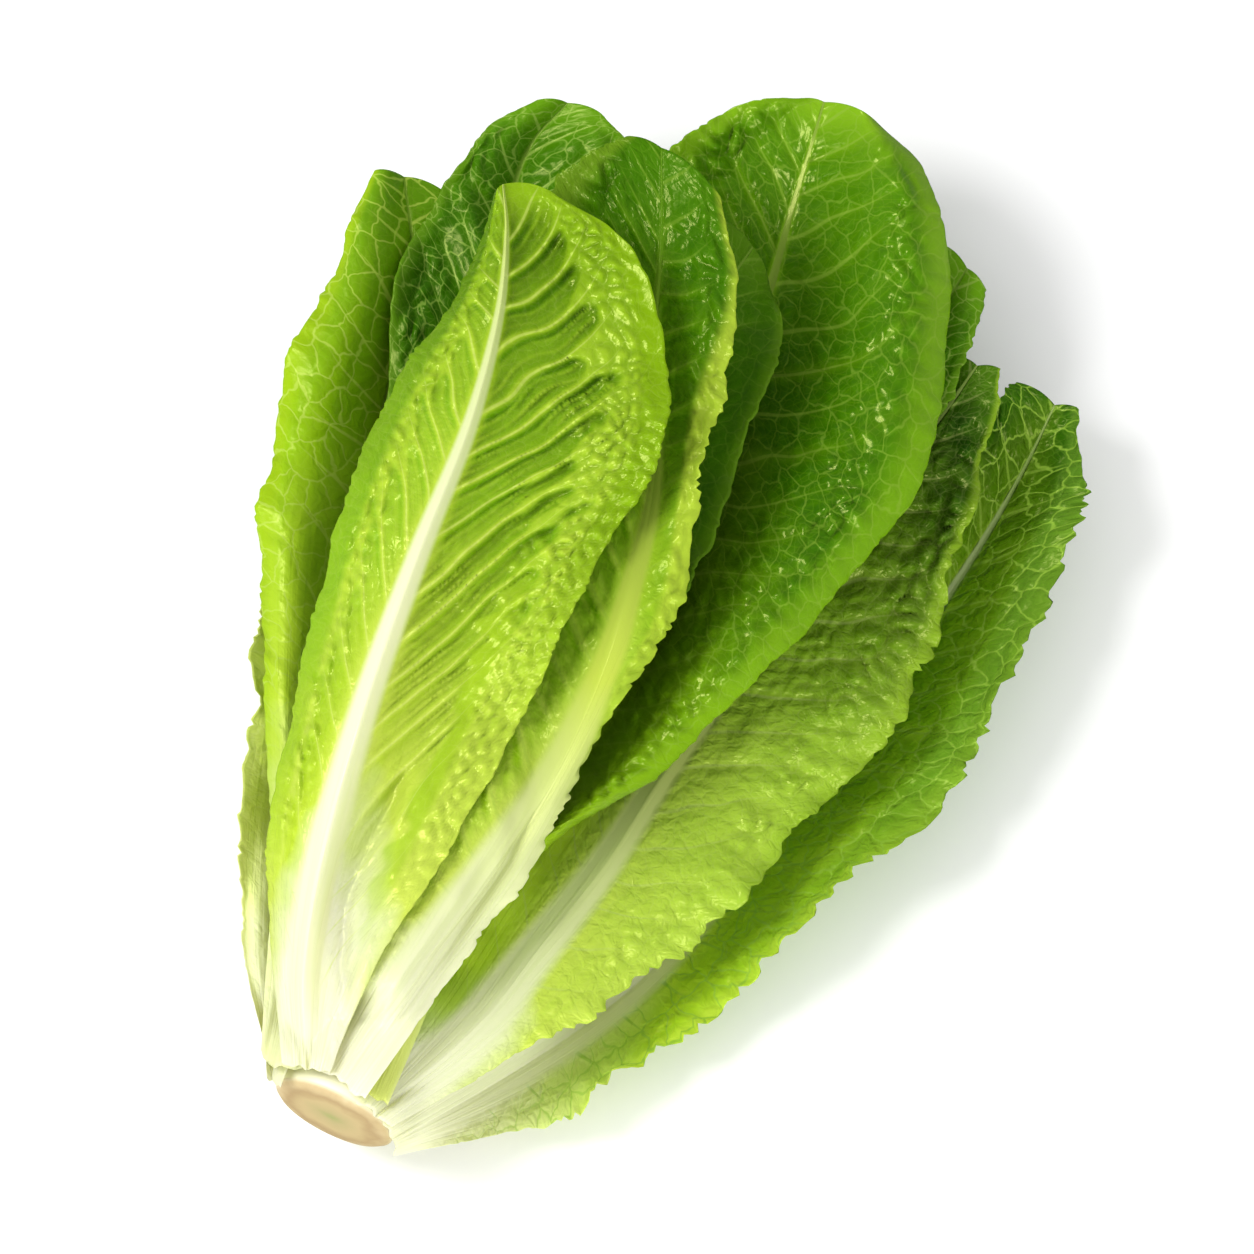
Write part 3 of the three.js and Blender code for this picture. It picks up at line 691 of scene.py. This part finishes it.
bmesh.ops.remove_doubles(bm, verts=bm.verts, dist=1e-6)
bmesh.ops.subdivide_edges(bm, edges=bm.edges, cuts=2, use_grid_fill=True)
bmesh.ops.recalc_face_normals(bm, faces=bm.faces)
bmesh.ops.translate(bm, verts=bm.verts, vec=(SHIFT[0] / 1000, SHIFT[1] / 1000, BUTT / 1000))
stem_mesh = bpy.data.meshes.new("stem_core")
bm.to_mesh(stem_mesh)
bm.free()
stem_mesh.polygons.foreach_set("use_smooth", [True] * len(stem_mesh.polygons))
stem = bpy.data.objects.new("stem_flesh", stem_mesh)
scene.collection.objects.link(stem)
flesh = bpy.data.materials.new("cut stem")
flesh.use_nodes = True
g = Graph(flesh.node_tree)
cut = flesh.node_tree.nodes["Principled BSDF"]
spot = g.node("TexCoord").outputs["Object"]
# millimetres from the stem's axis, with a wobble so that no ring is round
from_axis = g.tree.nodes.new("ShaderNodeVectorMath")
from_axis.operation = "MULTIPLY_ADD"
g.put(from_axis.inputs[0], spot)
from_axis.inputs[1].default_value = (1000, 0, 1000)
from_axis.inputs[2].default_value = (-SHIFT[0], 0, -BUTT)
wobble = g.noise(from_axis.outputs[0], 0.16, 5.0)
size = g.tree.nodes.new("ShaderNodeVectorMath")
size.operation = "LENGTH"
g.put(size.inputs[0], from_axis.outputs[0])
ring = g.math("ADD", size.outputs["Value"], g.math("MULTIPLY", wobble, WOBBLE))
ring = g.math("DIVIDE", ring, CUT_REACH)
browned = g.ramp(ring, [linear(c) for c in CUT], (0.12, 0.3, 0.5, 0.66, 0.8, 0.95))
# only the cut is browned; behind it the flesh is cream
back = g.node("SeparateXYZ", Vector=spot).outputs[1]
behind = g.step(back, (SHIFT[1] - 1.6) / 1000, (SHIFT[1] - 0.2) / 1000)
g.put(cut.inputs["Base Color"], g.mix(behind, browned, linear((238, 236, 205))))
cut.inputs["Roughness"].default_value = 0.55
stem_mesh.materials.append(flesh)
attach(stem, "root")
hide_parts("stem_core")
# the leaves that follow are laid on the stem too
bearing = np.linspace(0, 2 * pi, 240)[:, None]
reach = np.linspace(-2.6, 50, 160)[None]
radius = np.interp(reach, [y for _, y in STEM[1:]], [r for r, _ in STEM[1:]])
around = np.stack([radius * np.cos(bearing), reach + 0 * bearing, radius * np.sin(bearing)], -1)
raise_pile(around @ RIGHT, around @ UP, around @ SIGHT)

# ---- Leaves round the stem ------------------------------------------------------------------------
# The rest of the head, from the lowest leaf to the topmost: each grows from the stem, and rests on
# those before it. Colours are display colours.

# Outer right leaf: the lowest on the right, dark with a pale net over its blisters, deeply lobed and
# toothed, with its long white rib along the lower edge.
leaf(
    "outer_right_leaf",
    dict(
        raised=[(240, 240, 205), (212, 234, 78), (180, 220, 52), (64, 118, 10)],
        hollow=[(225, 230, 160), (184, 218, 44), (130, 184, 18), (24, 76, 4)],
        rib=[(244, 244, 220), (240, 241, 206), (160, 188, 100)], vein=(160, 200, 70), rim=(112, 158, 46),
        spacing=15.0, cell=6.5, net=0.85, fine=0.12, lateral=0.75, blister=0.5, wrinkle=0.0, gloss=0.45,
    ),
    rib=[6, 17], belly=[[0.5, 0.5, -2], [0.55, 0.55, -2]], wave=[2.6, 4.5],
    rows=[
        [[13.5, 4, 41], [18.5, 0.5, 32], [20.5, -3, 24]],
        [[24, 28, 28], [34, 22, 13], [43, 13, 15]],
        [[34, 58, 29], [49, 46, 5], [62, 33, 16]],
        [[44, 90, 30], [61, 72, 2.5], [80, 68, 20]],
        [[54, 122, 30], [70, 106, 2], [97, 111, 25]],
        [[62, 156, 30], [78, 140, 2], [112, 150, 28]],
        [[68, 192, 31], [85, 174, 3], [115, 184, 30]],
        [[72, 222, 31], [90, 208, 10], [110, 222, 31]],
        [[75, 246, 32], [92, 234, 17], [107, 241, 31]],
        [[80, 257, 29], [92, 256, 24], [99, 258, 28]],
    ],
    fine=(240, 92), seed=30, slant=(0.7, 0.5), ridge=(1.0, 0.9), bubble=(1.4, 7.0), frill=2.4,
    lobes=(3.4, 12), teeth=3.0,
    paint=lambda S, T, along: dict(rim=0.7 * ease(S, 0.5, 0.75) * ease(T, 0.3, 0.6)),
)

# Outer left leaf: a pale leaf whose edge follows the left side of the head, nearly smooth, with a
# toothed margin.
leaf(
    "outer_left_leaf",
    dict(
        raised=[(245, 245, 222), (236, 242, 160), (214, 228, 100), (176, 206, 50)],
        hollow=[(240, 242, 205), (222, 234, 120), (190, 214, 60), (146, 186, 26)],
        rib=WHITE_RIB, vein=(232, 238, 170), rim=(214, 226, 120), net=0.2, blister=0.15, wrinkle=0.1,
    ),
    rib=[5, 14], belly=[[0.5, 0.5, -1], [0.5, 0.5, -1]], wave=[1.8, 4.5],
    rows=[
        [[-21.5, 4, 37], [-19.5, 2, 30], [-16, 0, 24]],
        [[-42, 27, 29], [-29, 27, 20], [-19, 32, 22]],
        [[-55, 52, 33], [-39, 52, 19], [-27, 58, 22]],
        [[-64, 76, 38], [-48, 78, 20], [-34, 86, 22]],
        [[-73, 100, 41], [-56, 104, 22], [-42, 114, 23]],
        [[-80, 126, 43], [-63, 132, 24], [-49, 142, 25]],
        [[-86, 154, 45], [-70, 158, 28], [-56, 168, 27]],
        [[-88, 180, 45], [-77, 182, 34], [-63, 192, 31]],
        [[-85, 196, 45], [-81, 198, 41], [-75, 200, 38]],
    ],
    fine=(180, 56), seed=40, ridge=(0.3, 0.3), bubble=(0.3, 5.0), frill=1.8, lobes=(2.4, 12), teeth=1.8,
)

# Ruffled leaf: its crumpled right half and broad pale rib show on the right of the head. The blade is
# pale and smooth low down, and dark and creased towards the tip.
# Its left half low down, in the shadow of the leaves above, is painted a bright lime as painted light.
leaf(
    "ruffled_leaf",
    dict(
        raised=[(240, 240, 214), (204, 224, 88), (172, 208, 62), (78, 126, 14)],
        hollow=[(230, 236, 180), (176, 206, 58), (128, 174, 26), (32, 80, 4)],
        rib=[(241, 241, 218), (214, 228, 126), (160, 188, 92)], vein=(184, 204, 110), rim=(146, 184, 40),
        glow_tint=(178, 214, 40), spacing=13.0, cell=5.0, net=0.12, fine=0.1, lateral=0.4, blister=0.25,
        wrinkle=0.4, gloss=0.6, rough=0.24, stops=(0.0, 0.12, 0.48, 0.82),
    ),
    rib=[5, 18], belly=[[0.5, 0.5, -2], [0.5, 0.5, 2]], wave=[3.5, 5],
    rows=[
        [[5, 6.5, 47], [11, 5.5, 45], [16, 4, 42]],
        [[8, 38, 44], [24, 36, 43], [36, 32, 35]],
        [[9, 66, 42], [30, 62, 41], [52, 56, 29]],
        [[12, 98, 38], [36, 90, 39], [68, 84, 29]],
        [[19, 130, 32], [40, 120, 36], [78, 118, 29]],
        [[24, 162, 33], [46, 152, 35], [89, 148, 30]],
        [[31, 194, 35], [52, 184, 36], [90, 178, 33]],
        [[41, 224, 37], [59, 214, 38], [85, 210, 36]],
        [[52, 246, 39], [65, 238, 40], [80, 238, 38]],
        [[62, 256, 41], [68, 256, 42], [74, 258, 41]],
    ],
    fine=(250, 96), seed=50, slant=(1.1, 0.7), ridge=(1.0, 1.8), pocket=0.8, bubble=(2.4, 6.0), frill=3.0,
    lobes=(2.0, 10), teeth=2.4,
    paint=lambda S, T, along: dict(
        relief=0.45 + 0.75 * ease(T, 0.45, 0.7),
        # painted light: the left half low down, shaded by the leaves above, is painted a bright lime
        glow_band=0.85 * ease(-S, 0.25, 0.5) * ease(T, 0.05, 0.12) * (1 - ease(T, 0.4, 0.6)),
        rim=ease(np.abs(S), 0.84, 0.97) * 0.8 * ease(T, 0.25, 0.5),
    ),
)

DARK_GREEN = dict(
    raised=[(225, 230, 160), (120, 165, 28), (80, 134, 8), (102, 158, 12)],
    hollow=[(200, 214, 110), (90, 138, 8), (50, 104, 2), (70, 128, 4)],
    rib=THIN_RIB, vein=(150, 185, 75), rim=(96, 142, 22), spacing=14.0, cell=5.5,
    net=0.6, fine=0.15, lateral=0.75, blister=0.08, wrinkle=0.0, gloss=0.4, rough=0.28, through=0.2,
)

# Behind leaf: a dark leaf that shows only its tip past the great leaf, and lies between that leaf and
# the ruffled one.
leaf(
    "behind_leaf", DARK_GREEN,
    rib=[2.5, 9], belly=[[0.5, 0.5, -1], [0.5, 0.5, 2]], wave=[2, 3.5],
    rows=[
        [[2, 26, 42], [5, 25, 43], [9, 27, 42]],
        [[0, 66, 40], [5, 64, 40], [10, 68, 40]],
        [[0, 118, 34], [14, 114, 32], [28, 120, 34]],
        [[7, 168, 32], [26, 162, 29], [45, 170, 34]],
        [[18, 212, 34], [40, 206, 31], [58, 212, 38]],
        [[29, 246, 37], [48, 238, 35], [65, 242, 41]],
        [[37, 268, 41], [52, 261, 40], [64, 262, 43]],
        [[45, 282, 42], [54, 279, 42], [61, 276, 42]],
    ],
    fine=(120, 46), seed=60, ridge=(0.9, 0.9), frill=1.6, lobes=(1.8, 9), teeth=1.6,
)

# Left leaf: bright green with a pale net up to its ridge, where the blade turns down, and painted darker in
# the fold beyond it as painted shade.
leaf(
    "left_leaf",
    dict(
        raised=[(240, 242, 200), (200, 224, 64), (160, 200, 20), (112, 162, 16)],
        hollow=[(215, 226, 130), (150, 196, 14), (112, 174, 4), (82, 142, 4)],
        rib=[(236, 238, 190), (170, 195, 80), (130, 168, 50)], vein=(188, 214, 84), rim=(162, 198, 18),
        spacing=15.0, cell=7.0, net=0.7, fine=0.08, lateral=0.75, blister=0.15, wrinkle=0.0, gloss=0.5,
    ),
    rib=[3.5, 12], belly=[[0.55, 0.55, 9], [0.5, 0.5, -2]], wave=[2, 4.5],
    rows=[
        [[-25, 6, 37], [-20, 5, 38], [-13, 7, 42]],
        [[-44, 50, 40], [-30, 46, 36], [-18, 52, 38]],
        [[-62, 84, 46], [-44, 78, 38], [-27, 86, 37]],
        [[-78, 112, 50], [-55, 110, 38], [-35, 120, 37]],
        [[-90, 136, 52], [-63, 138, 38], [-43, 150, 38]],
        [[-99, 164, 54], [-69, 165, 38], [-50, 178, 40]],
        [[-100, 190, 56], [-75, 190, 40], [-57, 203, 42]],
        [[-103, 211, 58], [-82, 213, 46], [-66, 222, 46]],
        [[-103, 232, 58], [-95, 234, 53], [-82, 235, 50]],
    ],
    fine=(230, 80), seed=70, slant=(0.6, 0.8), ridge=(0.3, 0.9), bubble=(0.5, 9.0), frill=2.0,
    lobes=(2.6, 15), teeth=0.9,
    paint=lambda S, T, along: dict(
        # painted shade: past the ridge the blade keeps the dark hollow colour and is darkened further
        relief=np.where(S < 0, 0.25, 1.0),
        deep=0.35 * (1 - ease(-S, 0.42, 0.6)) * ease(T, 0.15, 0.4),
        rim=ease(-S, 0.75, 0.97) * 0.8 * ease(T, 0.1, 0.3),
    ),
)

# Back left leaf: a tall dark leaf behind the front leaf, netted and blistered, which shows its upper
# half with its face to the eye.
leaf(
    "back_left_leaf", DARK_GREEN,
    rib=[3, 11], belly=[[0.5, 0.5, 4], [0.5, 0.5, 3]], wave=[2.4, 4],
    rows=[
        [[-15, 24, 42], [-10, 23, 43], [-5, 25, 42]],
        [[-30, 56, 41], [-19, 52, 40], [-8, 56, 42]],
        [[-46, 96, 42], [-29, 90, 38], [-10, 96, 43]],
        [[-60, 138, 44], [-39, 130, 37], [-14, 140, 45]],
        [[-73, 178, 46], [-49, 168, 37], [-18, 184, 47]],
        [[-85, 212, 49], [-58, 204, 39], [-24, 224, 49]],
        [[-84, 234, 51], [-65, 234, 42], [-30, 250, 50]],
        [[-82, 254, 52], [-68, 256, 46], [-40, 267, 51]],
        [[-72, 269, 53], [-64, 272, 51], [-53, 273, 51]],
    ],
    fine=(220, 76), seed=80, slant=(0.9, 0.9), ridge=(1.3, 1.8), bubble=(1.6, 7.0), frill=1.6,
    lobes=(1.4, 14), teeth=0.6,
)

# Great leaf: the largest, with a deep trough beside its rib and a high blistered ridge down its right
# half. It is dark and glossy, with a lighter margin that turns down past the ridge.
leaf(
    "great_leaf",
    dict(
        raised=[(236, 238, 180), (176, 212, 36), (116, 170, 14), (136, 186, 26)],
        hollow=[(226, 232, 140), (150, 194, 18), (58, 114, 2), (88, 146, 6)],
        rib=[(216, 226, 120), (140, 172, 62), (140, 172, 60)], vein=(148, 186, 60), rim=(130, 178, 22),
        spacing=13.0, cell=6.0, net=0.38, fine=0.12, lateral=0.6, blister=0.12, wrinkle=0.0,
        gloss=0.6, rough=0.22, through=0.25, stops=(0.0, 0.08, 0.5, 0.9),
    ),
    rib=[3.5, 12], belly=[[0.5, 0.5, -4], [0.68, 0.68, 17]], wave=[2, 4.5],
    rows=[
        [[2, 11, 49], [7, 10, 49], [12, 9, 46]],
        [[-2, 50, 47], [6, 48, 46], [11, 54, 47]],
        [[-8, 88, 44], [10, 80, 41], [22, 92, 48]],
        [[-16, 126, 39], [13, 112, 33], [36, 114, 51]],
        [[-26, 165, 41], [12, 150, 31], [48, 142, 55]],
        [[-34, 205, 45], [11, 190, 31], [58, 174, 56]],
        [[-38, 240, 50], [10, 225, 32], [67, 213, 55]],
        [[-36, 265, 54], [8, 250, 36], [61, 247, 53]],
        [[-29, 282, 55], [4, 272, 43], [50, 275, 53]],
        [[-17, 295, 55], [1, 291, 49], [32, 297, 53]],
        [[-7, 301, 54], [-1, 303, 51], [15, 304, 52]],
    ],
    fine=(280, 110), seed=90, slant=(0.9, 0.9), ridge=(1.3, 1.9), bubble=(1.9, 7.0), frill=1.2,
    lobes=(1.4, 15), teeth=0.8,
    paint=lambda S, T, along: dict(
        rim=np.where(S < 0, 0.5, 0.75 - 0.6 * ease(T, 0.4, 0.65))
        * ease(np.abs(S), 0.78, 0.98) * ease(T, 0.1, 0.3),
        crumple=0.9 * ease(S, 0.3, 0.45) * (1 - ease(S, 0.75, 0.85))
        * ease(T, 0.15, 0.25) * (1 - ease(T, 0.55, 0.75)),
    ),
)

# Folded leaf: a narrow leaf between the great leaf and the second leaf, of one smooth dark green, of
# which only the right half shows.
leaf(
    "folded_leaf",
    dict(
        raised=[(225, 230, 160), (120, 165, 30), (92, 142, 18), (92, 142, 18)],
        hollow=[(200, 214, 110), (90, 138, 12), (62, 116, 8), (66, 120, 8)],
        rib=THIN_RIB, vein=(130, 170, 55), rim=(104, 150, 24), net=0.25, blister=0.1, wrinkle=0.0, gloss=0.4,
    ),
    rib=[2, 8], belly=[[0.5, 0.5, -1], [0.5, 0.5, -2]], wave=[1.6, 4],
    rows=[
        [[-5, 34, 48], [0, 33, 49], [5, 35, 48]],
        [[-11, 70, 50], [2, 66, 50], [10, 74, 52]],
        [[-18, 112, 52], [3, 106, 51], [16, 118, 55]],
        [[-25, 150, 54], [1, 142, 51], [22, 150, 58]],
        [[-30, 185, 56], [-1, 174, 52], [24, 175, 60]],
        [[-32, 214, 58], [-3, 204, 54], [21, 204, 61]],
        [[-30, 238, 59], [-4, 228, 57], [19, 228, 61]],
        [[-22, 253, 60], [-3, 244, 59], [16, 242, 61]],
        [[-11, 261, 61], [-1, 258, 61], [8, 250, 61]],
    ],
    fine=(180, 50), seed=100, ridge=(0.4, 0.4), bubble=(0.2, 6.0), frill=1.4, lobes=(1.0, 9),
)

# Heart leaves: the small pale young leaves at the middle, each shorter than the one below. Given for
# each are its tip along the head, half its width, its foot and its height.
HEART = dict(
    raised=[(243, 243, 222), (238, 241, 190), (214, 226, 110), (190, 212, 60)],
    hollow=[(238, 240, 205), (224, 232, 150), (190, 212, 70), (160, 195, 40)],
    rib=WHITE_RIB, vein=(236, 240, 180), rim=(200, 218, 80), spacing=9.0, cell=4.0,
)
HEARTS = [(214, 29, 34, 47), (188, 25, 36, 50), (160, 21, 38, 53), (130, 17, 40, 56)]
for n, (tip, breadth, foot, z) in enumerate(HEARTS):
    rows = []
    for t in (0, 0.16, 0.34, 0.52, 0.7, 0.85, 0.95, 1):
        along = foot + (tip - foot) * t
        half = 4 + (breadth - 4) * sin(pi * min(0.96, 0.04 + 0.86 * t) ** 1.1)
        across = -4 - 0.11 * (along - foot) - 3 * (n % 2)
        high = z + 14 * t
        low = high - 5
        ahead = along + 10 * t * (1 - t)
        rows.append([[across - half, ahead, low], [across, along, high], [across + half, ahead, low]])
    leaf(
        f"heart_leaf_{n + 1}", HEART,
        rib=[2, 8], belly=[[0.5, 0.5, 1], [0.5, 0.5, 1]], wave=[1.2, 3.5],
        rows=rows, fine=(90, 32), seed=200 + 10 * n, frill=1.5,
    )

# Second leaf: long and narrow, its back to the eye, with a broad white stalk. Its tip is a dark
# trough, and its right margin rolls in as a smooth pale band.
leaf(
    "second_leaf",
    dict(
        raised=[(242, 240, 214), (208, 224, 96), (158, 196, 40), (92, 150, 6)],
        hollow=[(238, 238, 200), (156, 194, 10), (104, 164, 2), (46, 106, 2)],
        rib=[(246, 244, 226), (200, 216, 84), (92, 144, 14)], vein=(150, 186, 60), rim=(186, 211, 62),
        spacing=12.0, cell=5.0, net=0.1, fine=0.03, lateral=0.3, blister=0.15, wrinkle=0.2, gloss=0.5,
        rough=0.22, lag=0.12, stops=(0.0, 0.12, 0.5, 0.85),
    ),
    rib=[3, 22], belly=[[0.5, 0.5, -2], [0.6, 0.6, 2]], wave=[1.6, 4.5],
    rows=[
        [[-9, 9.5, 50], [-2, 9, 51], [6, 8, 49]],
        [[-9, 38, 52], [3, 40, 56], [11.5, 42, 55]],
        [[-14, 74, 58], [9.5, 74, 62], [18.5, 79, 61]],
        [[-24, 110, 64], [13.5, 102, 69], [19.5, 107, 68]],
        [[-34, 148, 70], [13.5, 132, 75], [21, 138, 74]],
        [[-44, 184, 78], [10, 158, 79], [25, 160, 78]],
        [[-53, 218, 82], [3, 188, 76], [14, 194, 83]],
        [[-57, 244, 84], [-13, 220, 75], [9, 220, 85]],
        [[-53, 260, 85], [-24, 248, 79], [0, 245, 85]],
        [[-44, 270, 85], [-35, 271, 83], [-15, 266, 85]],
    ],
    rib_up=True, fine=(260, 88), seed=110, broad=2.2, slant=(0.6, 0.9), ridge=(0.9, 0.9), pocket=0.7,
    bubble=(2.4, 6.5), frill=1.6, lobes=(1.3, 10), teeth=1.8,
    paint=lambda S, T, along: dict(
        relief=np.where(S < 0, 1.0, 0.4 + 0.6 * ease(T, 0.62, 0.75)),
        deep=0.5 * ease(T, 0.6, 0.75),
        rim=np.where(S < 0, ease(-S, 0.7, 0.9) * 0.2, 0.8 * ease(S - 0.33 * ease(T, 0.7, 0.9), 0.5, 0.68))
        * ease(T, 0.3, 0.6),
        crumple=0.35 * ease(S, 0.5, 0.75) * ease(T, 0.3, 0.5),
    ),
)

# Front leaf: over the others, its back to the eye, with a long white rib. Its side veins stand up as
# slanting ridges with hollows between them, and a blistered band runs inside its smooth margin.
# Its hollows and its curled left margin are painted darker as painted shade, and a lime band of painted glow
# lies in the fold inside the blistered band.
leaf(
    "front_leaf",
    dict(
        raised=[(237, 236, 218), (208, 224, 92), (186, 214, 58), (148, 190, 24)],
        hollow=[(232, 232, 200), (178, 208, 22), (112, 172, 2), (40, 98, 1)],
        rib=WHITE_RIB, vein=(214, 228, 120), rim=(132, 175, 10), glow_tint=(158, 199, 8),
        spacing=14.0, cell=4.5, net=0.06, fine=0.05, lateral=0.45, twig=0.0, blister=0.1, wrinkle=0.3,
        gloss=0.6, rough=0.2, lag=0.22, stops=(0.0, 0.14, 0.42, 0.8),
    ),
    rib=[5, 16], belly=[[0.5, 0.5, 3], [0.66, 0.3, -6]], wave=[1.5, 4.5],
    rows=[
        [[-18.5, 6, 44], [-12.5, 8.5, 48], [-6.5, 10.5, 51]],
        [[-36, 34, 49], [-24, 31, 59], [-6.5, 46, 60]],
        [[-50, 62, 57], [-33, 62, 69], [-2.5, 82, 67]],
        [[-60, 101, 68], [-40, 100, 82], [-1, 124, 79]],
        [[-69, 144, 75], [-45, 142, 90], [-1, 160, 87]],
        [[-72, 180, 80], [-48, 180, 94], [1, 192, 92]],
        [[-68, 205, 84], [-54, 210, 95], [-6, 215, 93]],
        [[-67, 224, 88], [-62, 231, 94], [-29, 242, 93]],
        [[-70, 240, 90], [-69, 243, 92], [-57, 247, 91]],
    ],
    rib_up=True, fine=(330, 120), seed=120, slant=(1.6, 1.3), ridge=(0.9, 3.0), pocket=0.7,
    bubble=(1.2, 4.2), frill=1.0, lobes=(0.8, 12), teeth=0.9,
    paint=lambda S, T, along: dict(
        relief=np.where(S < 0, 0.75, 0.2 + 0.8 * ease(T, 0.2, 0.5)),
        # the left margin, curling down, is painted darker as painted shade; a strip low on the left half is
        # darker too
        deep=0.65 * ease(-S, 0.68, 0.82) * ease(T, 0.12, 0.3)
        + 0.5 * ease(-S, 0.2, 0.4) * (1 - ease(-S, 0.6, 0.75))
        * ease(T, 0.08, 0.2) * (1 - ease(T, 0.35, 0.5)),
        rim=0.9 * ease(S, 0.8, 0.88) * ease(T, 0.3, 0.6),
        # painted glow: a bright lime where light shines through the fold inside the right margin
        glow_band=0.7 * ease(T, 0.1, 0.3) * (1 - ease(T, 0.4, 0.55))
        * ease(S + 0.08 * field(along, 0 * along, 5, 3), 0.5, 0.56) * (1 - ease(S, 0.64, 0.74)),
        crumple=0.8 * ease(S, 0.66, 0.76) * ease(T, 0.15, 0.3) * (1 - ease(T, 0.6, 0.75))
        + 0.9 * ease(-S, 0.35, 0.6) * (1 - ease(-S, 0.7, 0.85)) * ease(T, 0.2, 0.35),
    ),
)
